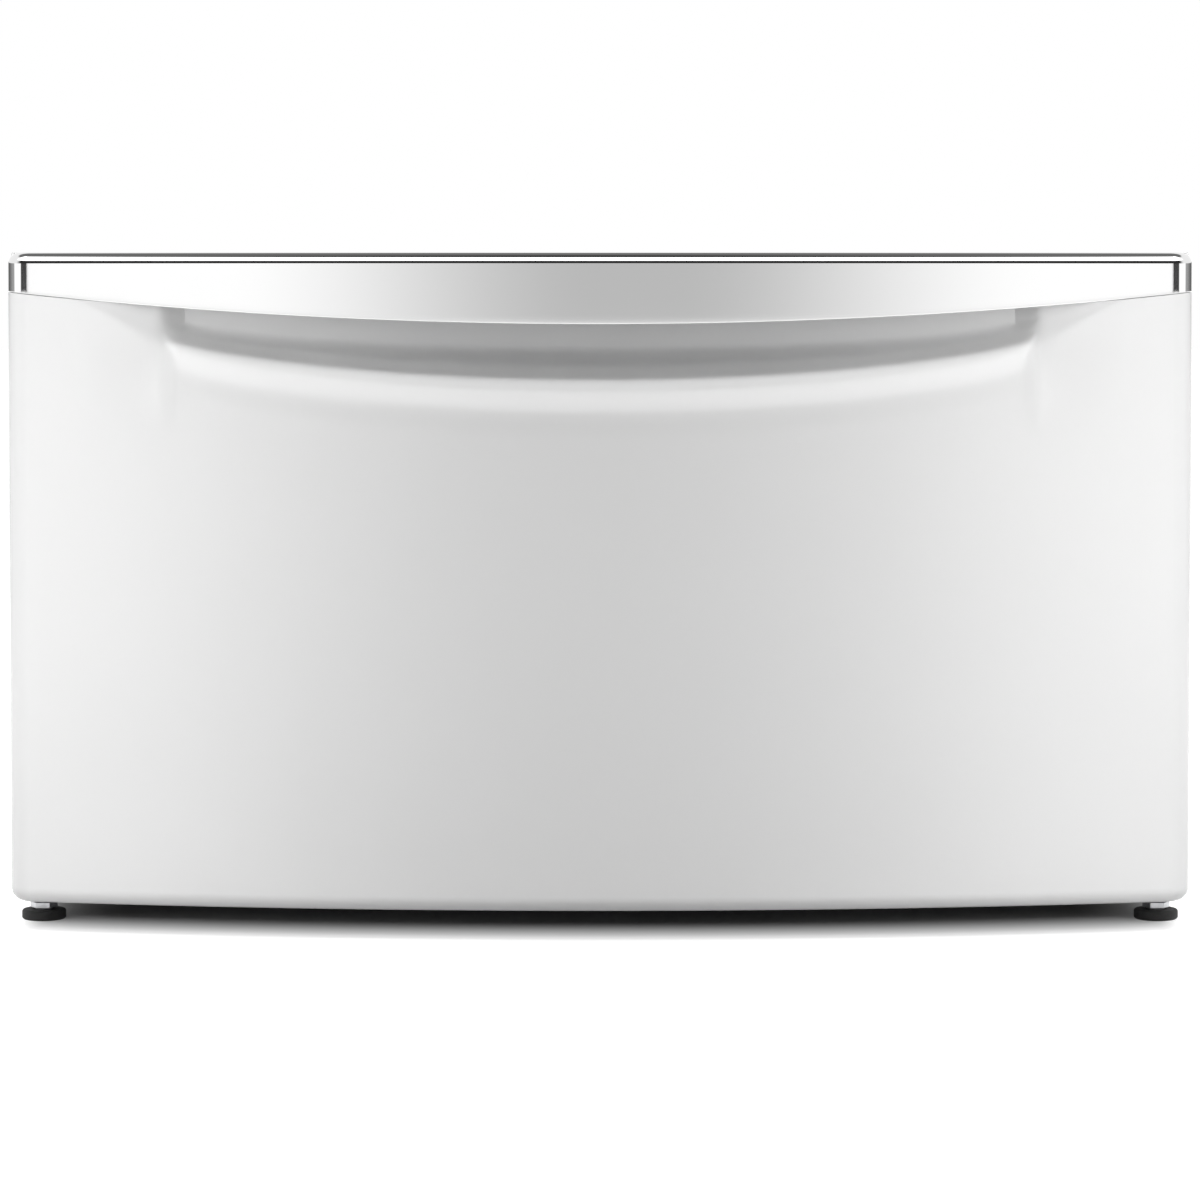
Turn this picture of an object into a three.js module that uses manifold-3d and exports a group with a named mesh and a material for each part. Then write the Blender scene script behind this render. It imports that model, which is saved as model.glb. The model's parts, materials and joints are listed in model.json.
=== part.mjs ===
// Washer pedestal with a full-width storage drawer, in millimetres.
// +Z is up, the drawer front faces -Y, +X is on the right of someone who looks at the front,
// and the origin is on the floor under the middle of the pedestal.
import * as THREE from "three";
import { mergeVertices } from "three/addons/utils/BufferGeometryUtils.js";
import Module from "manifold-3d";

const wasm = await Module();
wasm.setup();

// Driving dimensions

const WIDTH = 686;
const DEPTH = 684;
const HEIGHT = 394;
const FLOOR_GAP = 17; // from the floor to the lower edge of the casing and of the front
const SHEET = 1.5; // folded steel sheet
const CLEARANCE = 0.3; // between two neighbouring pieces

// Drawer front
const BOW = 40; // how far the middle of the front stands forward of its ends
const CORNER_RADIUS = 16; // upright edges of the front, seen from above
const FRONT_WALL = 3;
const FRONT_RETURN = 22; // side wall behind each end of the bow
const FRONT_FILLET = 8; // lower edge
const FRONT_FOOT = 18; // how far the front turns back along its lower edge
const DRAWER_GAP = 3; // between the closed drawer front and the cabinet

// Finger scoop in the front: its lip lies on half an ellipse that hangs under the pull, and
// behind the lip the front falls away to an upright back wall. Beyond both ends of the lip the
// scoop runs out in a soft dish.
const SCOOP_MARGIN = 39; // from the side of the front to the end of the scoop
const SCOOP_TOP = 27; // from the top down to the middle of the ellipse
const SCOOP_DROP = 56; // from the middle of the ellipse down to its lip
const SCOOP_DEPTH = 46; // from the middle of the bow back to the scoop's back wall
const SCOOP_SLOPE = 2.6; // how steeply it goes in behind the lip
const LIP_ENTRY = 22; // the face starts to lean in this far below the lip
const LIP_LEAN = 0.42; // slope of the face at the lip
const LIP_RADIUS = 20;
const HOLLOW = 10; // height over which the scoop's floor turns up into its back wall
const LIP_MARGIN = 100; // from the side of the front to the ends of the lip
const LIP_FADE = 13; // length over which the lip passes into the dish
const DISH_DEPTH = 12.5; // at the ends of the lip
const DISH_ENTRY = 30; // how much lower than the lip's the dish's lean begins

// Pull: a chrome moulding along the top of the front
const PULL_MIDDLE = 41; // height of its face in the middle
const PULL_END = 22.7; // height of its face at the ends
const PULL_WALL = 2.5;
const PULL_FILLET = 6.5; // top edge
const PULL_FLANGE = 26; // top face, front to back
const PULL_LIP = 9; // lower edge, turned back behind the face
const PULL_LIP_MARGIN = 170; // from the side of the front to the end of the turned lip
const CARRIER_DEPTH = 4; // bar behind the face of the pull, at its ends: its back is flat

// Deck
const RIM = 15; // height of the deck's turned-down rim
const SEAT_RADIUS = 32; // dished seats under the washer's feet
const SEAT_DEPTH = 1.2;
const SEAT_HOLE_RADIUS = 6;
const SEAT_SIDE = 60; // from the side of the deck to the middle of a seat
const SEAT_FRONT = 62;
const SEAT_REAR = 67;
const BEAD_WIDTH = 24; // stiffening grooves between the seats
const BEAD_LENGTH = 360;
const BEAD_PITCH = 120;
const BEAD_COUNT = 3;

// Cabinet frame
const FLANGE = 19; // inward flanges of the side panels
const REAR_FLANGE = 20; // bottom flange of the rear panel
const POST_WIDTH = 20;
const POST_DEPTH = 50;
const RAIL_DEPTH = 30;
const RAIL_HEIGHT = 30;

// Leveling feet
const STEM_RADIUS = 5;
const STEM_TOP = 70;
const PAD_RADIUS = 13;
const PAD_HEIGHT = 6;
const PAD_FLOOR = 3; // rubber under the foot of the stem
const STEM_FOOT_RADIUS = 7;
const STEM_HEX = 14; // across flats
const STEM_HEX_HEIGHT = 4;
const LOCK_NUT = 16; // across flats
const LOCK_NUT_HEIGHT = 5;
const WELD_NUT = 16; // across flats
const WELD_NUT_HEIGHT = 8;

// Ball-bearing slides
const SLIDE_LEVEL = 185; // middle of the slide above the floor
const SLIDE_THICKNESS = 12.7;
const SLIDE_HEIGHT = 45;
const SLIDE_END = 10; // the slide stops this far short of the back of the rear post
const BALL_DIAMETER = 3.6;
const BALL_ROOM = 0.2; // running clearance on each side of a ball
const CAGE_LENGTH = 180;
const CAGE_WALL = 0.8;
const BALLS_PER_ROW = 6;

// Drawer box
const BOX_BOTTOM = 60;
const BOX_DROP = 49; // from the top of the pedestal down to the rim of the box
const BOX_REAR_GAP = 42; // from the back of the pedestal to the back of the box
const HEM = 10; // folded rims of the box
const BOX_FLANGE = 12;
const INNER_FRONT_DROP = 6; // from the ends of the pull down to the top of the inner front
const INNER_FRONT_FLANGE = 10;

// Screws and bumpers
const SCREW_RADIUS = 1.9;
const SCREW_HEAD_RADIUS = 4.5;
const SCREW_HEAD_HEIGHT = 2.4;
const SCREW_LENGTH = 12;
const SCREW_SLOT = 1.2;
const BOSS_RADIUS = 6;
const BOSS_MARGIN = 93; // from the side of the front to a boss
const BOSS_BOTTOM = 85; // lower bosses above the floor
const BOSS_DROP = 118; // upper bosses below the top
const BUMPER_RADIUS = 6;
const BUMPER_DROP = 45; // upper bumpers below the top
const BUMPER_BOTTOM = 75; // lower bumpers above the floor

// How finely curves are divided
const BOW_STEPS = 16; // each half of the bow
const CORNER_STEPS = 4;
const FILLET_STEPS = 4;
const LIP_STEPS = 4;
const HOLLOW_STEPS = 3;
const ROUND_STEPS = 16;
const SEAT_STEPS = 32;
const BEAD_STEPS = 6; // each round end

// Places that follow from the sizes above

const HALF = WIDTH / 2;
const FRONT = -DEPTH / 2;
const REAR = DEPTH / 2;
const BOW_RADIUS = (HALF ** 2 + BOW ** 2) / (2 * BOW);
const FRONT_BACK = FRONT + BOW + FRONT_RETURN; // rear edges of the drawer front
const CABINET_FRONT = FRONT_BACK + DRAWER_GAP;

const DECK_UNDER = HEIGHT - SHEET;
const CASE_INSET = SHEET + CLEARANCE; // the casing stands inside the deck's rim
const CASE_HALF = HALF - CASE_INSET;
const CASE_FRONT = CABINET_FRONT + CASE_INSET;
const CASE_REAR = REAR - CASE_INSET;
const CASE_TOP = DECK_UNDER - CLEARANCE;
const SIDE_REAR = CASE_REAR - SHEET - CLEARANCE;
const SIDE_FLANGE_X = CASE_HALF - FLANGE - SHEET;

const POST_X1 = CASE_HALF - SHEET - CLEARANCE;
const POST_X0 = POST_X1 - POST_WIDTH;
const POST_FRONT = CASE_FRONT + SHEET + CLEARANCE;
const POST_REAR = SIDE_REAR - SHEET - CLEARANCE;
const POST_BOTTOM = FLOOR_GAP + SHEET + CLEARANCE;
const POST_TOP = CASE_TOP - SHEET - CLEARANCE;
const RAIL_TOP = DECK_UNDER - SEAT_DEPTH - CLEARANCE;
const RAIL_HALF = POST_X0 - CLEARANCE;

const FOOT_X = (POST_X0 + POST_X1) / 2;
const FOOT_Y = { front: POST_FRONT + POST_DEPTH / 2, rear: POST_REAR - POST_DEPTH / 2 };

const SLIDE_X = POST_X0 - CLEARANCE; // face of the slide on the posts
const SLIDE_Y0 = POST_FRONT;
const SLIDE_Y1 = POST_REAR - SLIDE_END;
const CAGE_Y = (SLIDE_Y0 + SLIDE_Y1) / 2;
const BALL_GAP = BALL_DIAMETER + 2 * BALL_ROOM;

const BOX_X = SLIDE_X - SLIDE_THICKNESS - CLEARANCE; // outer face of the drawer sides
const BOX_IN = BOX_X - SHEET;
const BOX_TOP = HEIGHT - BOX_DROP;
const BOX_REAR = REAR - BOX_REAR_GAP;
const INNER_FRONT_Y1 = FRONT_BACK - CLEARANCE;
const INNER_FRONT_Y0 = INNER_FRONT_Y1 - SHEET;
const INNER_FRONT_TOP = HEIGHT - PULL_END - INNER_FRONT_DROP;
const BOX_FRONT = INNER_FRONT_Y1 + CLEARANCE;
const BOX_FLOOR = BOX_BOTTOM + SHEET + CLEARANCE;

const PULL_SEAT = PULL_WALL + CLEARANCE; // the front steps in by this much behind the pull
const ROOF_TOP = HEIGHT - PULL_SEAT;
const ROOF_BOTTOM = ROOF_TOP - FRONT_WALL;
const FILLET_CENTRE = HEIGHT - PULL_FILLET;
const SEAT_FILLET = PULL_FILLET - PULL_SEAT; // the front's top edge under the pull's
const SCOOP_HALF = HALF - SCOOP_MARGIN;
const SCOOP_CENTRE = HEIGHT - SCOOP_TOP;
const LIP_START = Math.atan(LIP_LEAN); // how far the face leans before and after the lip
const LIP_END = Math.atan(SCOOP_SLOPE);
const LIP_RISE = LIP_RADIUS * (Math.sin(LIP_END) - Math.sin(LIP_START));
const CURVED_DEPTH =
  (LIP_LEAN * LIP_ENTRY + SCOOP_SLOPE * HOLLOW) / 2 +
  LIP_RADIUS * (Math.cos(LIP_START) - Math.cos(LIP_END));
const LIP_HALF = HALF - LIP_MARGIN;
const PULL_LIP_HALF = HALF - PULL_LIP_MARGIN;
const BOSS_X = HALF - BOSS_MARGIN;
const BOSS_LEVELS = { lower: BOSS_BOTTOM, upper: HEIGHT - BOSS_DROP };
const BUMPER_X = CASE_HALF - SHEET - FLANGE / 2;
const BUMPER_LEVELS = { lower: BUMPER_BOTTOM, upper: HEIGHT - BUMPER_DROP };

// Finishes

function finish(color, roughness, metalness) {
  return new THREE.MeshStandardMaterial({ color, roughness, metalness });
}

const whiteGloss = finish(0xf1f1f1, 0.18, 0);
const chrome = finish(0xdcdde0, 0.06, 1);
const whitePaint = finish(0xeeeeee, 0.35, 0);
const greyPaint = finish(0xc9cbcd, 0.45, 0);
const zinc = finish(0xb4b7ba, 0.35, 1);
const nylon = finish(0x8a8c8e, 0.6, 0);
const rubber = finish(0x222222, 0.85, 0);

// Solids

function solid(geometry) {
  const bare = geometry.clone();
  bare.deleteAttribute("normal");
  bare.deleteAttribute("uv");
  const merged = mergeVertices(bare);
  const made = new wasm.Manifold(
    new wasm.Mesh({
      numProp: 3,
      vertProperties: merged.attributes.position.array,
      triVerts: new Uint32Array(merged.index.array),
    }),
  );
  return made.volume() < 0 ? solid(turned(merged)) : made;
}

// The same geometry with its faces turned round.
function turned(geometry) {
  const order = Array.from(geometry.index.array);
  for (let i = 0; i < order.length; i += 3) {
    [order[i], order[i + 1]] = [order[i + 1], order[i]];
  }
  return geometry.clone().setIndex(order);
}

function geometryOf(made) {
  const mesh = made.getMesh();
  const positions = new Float32Array(mesh.numVert * 3);
  for (let i = 0; i < mesh.numVert; i += 1) {
    const start = i * mesh.numProp;
    positions.set(mesh.vertProperties.subarray(start, start + 3), i * 3);
  }
  return new THREE.BufferGeometry()
    .setAttribute("position", new THREE.BufferAttribute(positions, 3))
    .setIndex(Array.from(mesh.triVerts));
}

function join(...geometries) {
  return geometryOf(geometries.map(solid).reduce((all, next) => all.add(next)));
}

function cut(geometry, ...tools) {
  return geometryOf(tools.map(solid).reduce((left, tool) => left.subtract(tool), solid(geometry)));
}

function block(x0, x1, y0, y1, z0, z1) {
  const box = new THREE.BoxGeometry(x1 - x0, y1 - y0, z1 - z0);
  return box.translate((x0 + x1) / 2, (y0 + y1) / 2, (z0 + z1) / 2);
}

// An outline of [x, y] points, extruded from z0 to z1.
function plate(outline, z0, z1, holes = []) {
  const shape = new THREE.Shape(outline.map(([x, y]) => new THREE.Vector2(x, y)));
  shape.holes = holes.map((hole) => new THREE.Path(hole.map(([x, y]) => new THREE.Vector2(x, y))));
  const made = new THREE.ExtrudeGeometry(shape, { depth: z1 - z0, bevelEnabled: false });
  return made.translate(0, 0, z0);
}

// An outline of [x, z] points, extruded from y0 to y1.
function profileAlongY(outline, y0, y1) {
  return plate(outline, -y1, -y0).rotateX(Math.PI / 2);
}

// An outline of [y, z] points, extruded from x0 to x1.
function profileAlongX(outline, x0, x1) {
  return plate(outline, x0, x1).rotateX(Math.PI / 2).rotateZ(Math.PI / 2);
}

function rectangle(u0, u1, v0, v1) {
  return [
    [u0, v0],
    [u1, v0],
    [u1, v1],
    [u0, v1],
  ];
}

function upright(x, y, z0, z1, radius, steps = ROUND_STEPS) {
  const made = new THREE.CylinderGeometry(radius, radius, z1 - z0, steps).rotateX(Math.PI / 2);
  return made.translate(x, y, (z0 + z1) / 2);
}

function level(x, z, y0, y1, radius, steps = ROUND_STEPS) {
  const made = new THREE.CylinderGeometry(radius, radius, y1 - y0, steps);
  return made.translate(x, (y0 + y1) / 2, z);
}

// A six-sided bar whose flats face left and right.
function hexagon(x, y, z0, z1, acrossFlats) {
  return upright(x, y, z0, z1, acrossFlats / 2 / Math.cos(Math.PI / 6), 6);
}

// A [radius, z] outline turned round an upright axis.
function turnedAboutZ(outline, x, y) {
  const points = outline.map(([radius, z]) => new THREE.Vector2(radius, z));
  const made = new THREE.LatheGeometry(points, ROUND_STEPS).rotateX(Math.PI / 2);
  return made.translate(x, y, 0);
}

// A [radius, y] outline turned round an axis along Y.
function turnedAboutY(outline, x, z) {
  const points = outline.map(([radius, y]) => new THREE.Vector2(radius, y));
  return new THREE.LatheGeometry(points, ROUND_STEPS).translate(x, 0, z);
}

// The front's outline, seen from above

function bowLine(x) {
  return FRONT + BOW_RADIUS - Math.sqrt(BOW_RADIUS ** 2 - x ** 2);
}

function station(centreX, centreY, radius, angle) {
  const nx = Math.sin(angle);
  const ny = -Math.cos(angle);
  return { x: centreX + radius * nx, y: centreY + radius * ny, nx, ny };
}

// Stations from the left rear edge, round the bow, to the right rear edge, with outward normals.
function frontPath() {
  const inner = BOW_RADIUS - CORNER_RADIUS;
  const cornerX = HALF - CORNER_RADIUS;
  const cornerAngle = Math.asin(cornerX / inner);
  const bowCentreY = FRONT + BOW_RADIUS;
  const cornerY = bowCentreY - inner * Math.cos(cornerAngle);
  const right = [];
  for (let i = 0; i < BOW_STEPS; i += 1) {
    right.push(station(0, bowCentreY, BOW_RADIUS, (cornerAngle * i) / BOW_STEPS));
  }
  for (let i = 0; i <= CORNER_STEPS; i += 1) {
    const angle = cornerAngle + ((Math.PI / 2 - cornerAngle) * i) / CORNER_STEPS;
    right.push(station(cornerX, cornerY, CORNER_RADIUS, angle));
  }
  right.push({ x: HALF, y: FRONT_BACK, nx: 1, ny: 0 });
  const left = right.slice(1).reverse();
  return [...left.map(({ x, y, nx, ny }) => ({ x: -x, y, nx: -nx, ny })), ...right];
}

const PATH = frontPath();

function insetPath(inset) {
  return PATH.map(({ x, y, nx, ny }) => [x - nx * inset, y - ny * inset]);
}

// A line parallel to the bow, this far behind it, from x0 to x1.
function bowBehind(distance, x0, x1) {
  const points = [];
  for (let i = 0; i <= 2 * BOW_STEPS; i += 1) {
    const x = x0 + ((x1 - x0) * i) / (2 * BOW_STEPS);
    points.push([x, bowLine(x) + distance]);
  }
  return points;
}

// Sweeps a closed section of [inset, z] points along stations. The section goes up on the
// outside and down on the inside.
function sweep(stations, sectionAt) {
  const sections = stations.map(sectionAt);
  const count = sections[0].length;
  const positions = stations.flatMap(({ x, y, nx, ny }, i) =>
    sections[i].flatMap(([inset, z]) => [x - nx * inset, y - ny * inset, z]),
  );
  const order = [];
  for (let i = 0; i + 1 < stations.length; i += 1) {
    for (let j = 0; j < count; j += 1) {
      const a = i * count + j;
      const b = i * count + ((j + 1) % count);
      order.push(a, a + count, b, b, a + count, b + count);
    }
  }
  const last = (stations.length - 1) * count;
  const capOf = (section) =>
    THREE.ShapeUtils.triangulateShape(section.map(([inset, z]) => new THREE.Vector2(inset, z)), []);
  for (const [a, b, c] of capOf(sections[0])) {
    order.push(b, a, c);
  }
  for (const [a, b, c] of capOf(sections.at(-1))) {
    order.push(last + a, last + b, last + c);
  }
  return new THREE.BufferGeometry()
    .setAttribute("position", new THREE.Float32BufferAttribute(positions, 3))
    .setIndex(order);
}

// A quarter round of [inset, z] points, from the level face to the upright one.
function quarter(radius, insetCentre, zCentre, zSign) {
  const points = [];
  for (let i = 0; i <= FILLET_STEPS; i += 1) {
    const angle = (Math.PI / 2 / FILLET_STEPS) * i;
    points.push([
      insetCentre - radius * Math.sin(angle),
      zCentre + zSign * radius * Math.cos(angle),
    ]);
  }
  return points;
}

// Drawer front

// Lower edge of the pull, an arc that hangs lowest in the middle.
function pullEdge(x) {
  return HEIGHT - PULL_MIDDLE + (PULL_MIDDLE - PULL_END) * (x / HALF) ** 2;
}

// Height at which the front's face starts to lean into the scoop.
function scoopStart(x) {
  const across = Math.min(1, Math.abs(x) / SCOOP_HALF);
  return SCOOP_CENTRE - SCOOP_DROP * Math.sqrt(1 - across ** 2) - LIP_ENTRY;
}

// Full depth of the scoop behind the lip: its back wall is flat.
function scoopReach(x) {
  return SCOOP_DEPTH - (bowLine(x) - FRONT);
}

// Height of the straight part between the lip and the hollow.
function scoopStraight(x) {
  return Math.max(0, (scoopReach(x) - CURVED_DEPTH) / SCOOP_SLOPE);
}

// Passes smoothly from 0 to 1 while the share does so.
function ease(share) {
  const within = Math.min(1, Math.max(0, share));
  return within ** 2 * (3 - 2 * within);
}

// How far the face is set back behind the lip.
function lipDepth(x, z) {
  const rise = Math.max(0, z - scoopStart(x));
  const entry = Math.min(rise, LIP_ENTRY);
  const lip = Math.min(rise - entry, LIP_RISE);
  const straight = Math.min(rise - entry - lip, scoopStraight(x));
  const hollow = Math.min(rise - entry - lip - straight, HOLLOW);
  const sine = Math.sin(LIP_START) + lip / LIP_RADIUS;
  const depth =
    (LIP_LEAN * entry ** 2) / (2 * LIP_ENTRY) +
    LIP_RADIUS * (Math.cos(LIP_START) - Math.sqrt(1 - sine ** 2)) +
    SCOOP_SLOPE * (straight + hollow - hollow ** 2 / (2 * HOLLOW));
  return depth * Math.min(1, scoopReach(x) / CURVED_DEPTH);
}

// How far the face is set back in the dishes beyond the lip.
function dishDepth(x, z) {
  const inward = Math.max(0, SCOOP_HALF - Math.abs(x)) / (SCOOP_HALF - LIP_HALF);
  const share = (z - scoopStart(x) + DISH_ENTRY) / (DISH_ENTRY + LIP_ENTRY);
  return DISH_DEPTH * inward ** 1.2 * ease(share);
}

// How far the front's face is set back by the scoop.
function scoopDepth(x, z) {
  const soft = ease((Math.abs(x) - LIP_HALF) / LIP_FADE);
  return (1 - soft) * lipDepth(x, z) + soft * dishDepth(x, z);
}

// Levels of the scoop's rows of points from below its start up to this height. Where the scoop
// runs out under the pull, the last rows crowd together.
function scoopLevels(x, high) {
  const straight = scoopStraight(x);
  const rises = [
    -DISH_ENTRY,
    -DISH_ENTRY / 2,
    ...spread(0, LIP_ENTRY, 3),
    ...spread(LIP_ENTRY, LIP_ENTRY + LIP_RISE, LIP_STEPS).slice(1),
    ...spread(0, HOLLOW, HOLLOW_STEPS).map((rise) => LIP_ENTRY + LIP_RISE + straight + rise),
  ];
  const hair = 0.01; // keeps two equal rows apart
  const crowd = 0.2;
  const start = Math.min(scoopStart(x), high - LIP_ENTRY);
  const levels = rises.map((rise, i) =>
    Math.min(start + rise + i * hair, high - (rises.length - i) * crowd),
  );
  return [...levels, high];
}

// The inner face of the pull, with clearance: the front's face behind it.
function seatInset(z) {
  const up = Math.max(0, z - FILLET_CENTRE);
  return PULL_FILLET - Math.sqrt(Math.max(0, SEAT_FILLET ** 2 - up ** 2));
}

function spread(low, high, steps) {
  return Array.from({ length: steps + 1 }, (_, i) => low + ((high - low) * i) / steps);
}

function frontSection({ x }) {
  const ledge = pullEdge(x) - CLEARANCE;
  const top = ROOF_BOTTOM + FRONT_WALL / 2;
  const hair = 0.05; // keeps two rows of points apart at the step behind the pull
  const behindPull = (z) => Math.max(scoopDepth(x, z) + hair, seatInset(z));
  const wallUnder = (z) => {
    const slope = scoopDepth(x, z + hair) / hair - scoopDepth(x, z) / hair;
    const length = Math.hypot(1, slope);
    return [scoopDepth(x, z) + FRONT_WALL / length, z - (FRONT_WALL * slope) / length];
  };
  const filletZ = FLOOR_GAP + FRONT_FILLET;
  return [
    ...quarter(FRONT_FILLET, FRONT_FILLET, filletZ, -1),
    ...scoopLevels(x, ledge).map((z) => [scoopDepth(x, z), z]),
    ...spread(ledge + hair, top, 3).map((z) => [behindPull(z), z]),
    ...spread(top, ledge - FRONT_WALL, 3).map((z) => [behindPull(z) + FRONT_WALL, z]),
    ...scoopLevels(x, ledge - FRONT_WALL - hair).reverse().map(wallUnder),
    ...quarter(FRONT_FILLET - FRONT_WALL, FRONT_FILLET, filletZ, -1).reverse(),
  ];
}

function drawerFascia() {
  const footHalf = HALF - FRONT_FOOT;
  const foot = plate(
    [
      ...insetPath(FRONT_FILLET - 1),
      [footHalf, FRONT_BACK],
      ...bowBehind(FRONT_FOOT, footHalf, -footHalf),
      [-footHalf, FRONT_BACK],
    ],
    FLOOR_GAP,
    FLOOR_GAP + FRONT_WALL,
  );
  const nose = [
    ...quarter(SEAT_FILLET, PULL_FILLET, FILLET_CENTRE, 1).reverse(),
    [PULL_FILLET + 1, ROOF_TOP],
    [PULL_FILLET + 1, FILLET_CENTRE],
  ];
  const roof = plate(insetPath(PULL_FILLET), ROOF_BOTTOM, ROOF_TOP);
  const pieces = [sweep(PATH, frontSection), sweep(PATH, () => nose), foot, roof];
  // Behind the flange of the pull the top rises to the level of the chrome.
  const rise = BOW + FRONT_RETURN - PULL_FLANGE - CLEARANCE - 1;
  if (rise > 1) {
    const half = Math.min(HALF - FRONT_RETURN, Math.sqrt(2 * BOW_RADIUS * rise - rise ** 2));
    const back = [
      [half, FRONT_BACK],
      [-half, FRONT_BACK],
    ];
    const line = bowBehind(PULL_FLANGE + CLEARANCE, -half, half);
    pieces.push(plate([...line, ...back], ROOF_TOP - 1, HEIGHT));
  }
  const holes = [];
  for (const x of [-BOSS_X, BOSS_X]) {
    for (const z of Object.values(BOSS_LEVELS)) {
      const root = bowLine(BOSS_X) + FRONT_WALL / 2;
      const end = INNER_FRONT_Y0 - CLEARANCE;
      pieces.push(level(x, z, root, end, BOSS_RADIUS));
      holes.push(level(x, z, end - SCREW_LENGTH, end + 1, SCREW_RADIUS + CLEARANCE));
    }
  }
  return cut(join(...pieces), ...holes);
}

function pullSection({ x }) {
  const inner = PULL_FILLET - PULL_WALL;
  const edge = pullEdge(x);
  return [
    [0, edge],
    ...quarter(PULL_FILLET, PULL_FILLET, FILLET_CENTRE, 1).reverse(),
    [PULL_FILLET + 1, HEIGHT],
    [PULL_FILLET + 1, HEIGHT - PULL_WALL],
    ...quarter(inner, PULL_FILLET, FILLET_CENTRE, 1),
    [PULL_WALL, edge],
  ];
}

function withinLip(margin) {
  return PATH.filter(({ x, ny }) => Math.abs(x) < PULL_LIP_HALF - margin && ny < 0);
}

function drawerPull() {
  const flangeHalf = HALF - PULL_FLANGE;
  const line = bowBehind(PULL_FLANGE, flangeHalf, -flangeHalf);
  const behind = line.filter(([, y]) => y < FRONT_BACK);
  const flange = plate([...insetPath(PULL_FILLET), ...behind], HEIGHT - PULL_WALL, HEIGHT);
  const lip = sweep(withinLip(0), ({ x }) => [
    [PULL_WALL / 2, pullEdge(x)],
    [PULL_WALL / 2, pullEdge(x) + PULL_WALL],
    [PULL_LIP, pullEdge(x) + PULL_WALL],
    [PULL_LIP, pullEdge(x)],
  ]);
  return join(sweep(PATH, pullSection), flange, lip);
}

function handleCarrier() {
  const back = bowLine(PULL_LIP_HALF) + PULL_SEAT + CARRIER_DEPTH;
  return sweep(withinLip(PULL_WALL), ({ x, y, ny }) => {
    const low = pullEdge(x) + PULL_WALL + CLEARANCE;
    const high = Math.min(ROOF_BOTTOM, FILLET_CENTRE) - CLEARANCE;
    const inner = (y - back) / ny;
    return [
      [PULL_SEAT, low],
      [PULL_SEAT, high],
      [inner, high],
      [inner, low],
    ];
  });
}

function innerFront() {
  const half = HALF - FRONT_WALL - CLEARANCE;
  const z0 = FLOOR_GAP + FRONT_FILLET + CLEARANCE;
  const z1 = INNER_FRONT_TOP;
  const y0 = INNER_FRONT_Y0 - INNER_FRONT_FLANGE;
  const flangeHalf = HALF - FRONT_RETURN;
  const sheet = join(
    block(-half, half, INNER_FRONT_Y0, INNER_FRONT_Y1, z0, z1),
    block(-flangeHalf, flangeHalf, y0, INNER_FRONT_Y1, z0, z0 + SHEET),
    block(-flangeHalf, flangeHalf, y0, INNER_FRONT_Y1, z1 - SHEET, z1),
  );
  const holes = [-BOSS_X, BOSS_X].flatMap((x) =>
    Object.values(BOSS_LEVELS).map((z) =>
      level(x, z, INNER_FRONT_Y0 - 1, INNER_FRONT_Y1 + 1, SCREW_RADIUS + CLEARANCE),
    ),
  );
  return cut(sheet, ...holes);
}

// A pan-head screw that points forward through the inner front into a boss.
function fasciaScrew(x, z) {
  const seat = INNER_FRONT_Y1;
  const head = seat + SCREW_HEAD_HEIGHT;
  const tip = INNER_FRONT_Y0 - CLEARANCE - SCREW_LENGTH + 1;
  const screw = turnedAboutY(
    [
      [0, tip],
      [SCREW_RADIUS, tip + SCREW_RADIUS],
      [SCREW_RADIUS, seat],
      [SCREW_HEAD_RADIUS, seat],
      [SCREW_HEAD_RADIUS, seat + SCREW_HEAD_HEIGHT / 2],
      [SCREW_HEAD_RADIUS - 1, head],
      [0, head],
    ],
    x,
    z,
  );
  const reach = SCREW_HEAD_RADIUS * 0.6;
  const half = SCREW_SLOT / 2;
  const floor = head - SCREW_HEAD_HEIGHT / 2;
  return cut(
    screw,
    block(x - reach, x + reach, floor, head + 1, z - half, z + half),
    block(x - half, x + half, floor, head + 1, z - reach, z + reach),
  );
}

function bumper(x, z) {
  const end = CASE_FRONT - CLEARANCE;
  return turnedAboutY(
    [
      [0, INNER_FRONT_Y1],
      [BUMPER_RADIUS, INNER_FRONT_Y1],
      [BUMPER_RADIUS, end - 1],
      [BUMPER_RADIUS - 1, end],
      [0, end],
    ],
    x,
    z,
  );
}

// Drawer box. Sides are made for the right and mirrored for the left.

function drawerSide() {
  const flangeLow = BOX_FLOOR + SHEET + CLEARANCE;
  const flangeHigh = BOX_TOP - SHEET;
  return join(
    block(BOX_IN, BOX_X, BOX_FRONT, BOX_REAR, BOX_BOTTOM, BOX_TOP),
    block(BOX_X - HEM, BOX_X, BOX_FRONT, BOX_REAR, BOX_TOP - SHEET, BOX_TOP),
    block(BOX_X - BOX_FLANGE, BOX_X, BOX_FRONT, BOX_REAR, BOX_BOTTOM, BOX_BOTTOM + SHEET),
    block(BOX_X - BOX_FLANGE, BOX_X, BOX_FRONT, BOX_FRONT + SHEET, flangeLow, flangeHigh),
  );
}

function drawerBottom() {
  const half = BOX_IN - CLEARANCE;
  return block(-half, half, BOX_FRONT, BOX_REAR, BOX_FLOOR, BOX_FLOOR + SHEET);
}

function drawerBack() {
  const half = BOX_IN - CLEARANCE;
  const z0 = BOX_FLOOR + SHEET + CLEARANCE;
  const z1 = BOX_TOP - SHEET - CLEARANCE;
  const y0 = BOX_REAR - HEM;
  return join(
    block(-half, half, BOX_REAR - SHEET, BOX_REAR, z0, z1),
    block(-half, half, y0, BOX_REAR, z1 - SHEET, z1),
    block(-half, half, y0, BOX_REAR, z0, z0 + SHEET),
  );
}

// Slides, made for the right side. A channel is open towards one side and symmetric about
// the middle of the slide. Depths count from the face on the posts towards the drawer.

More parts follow.
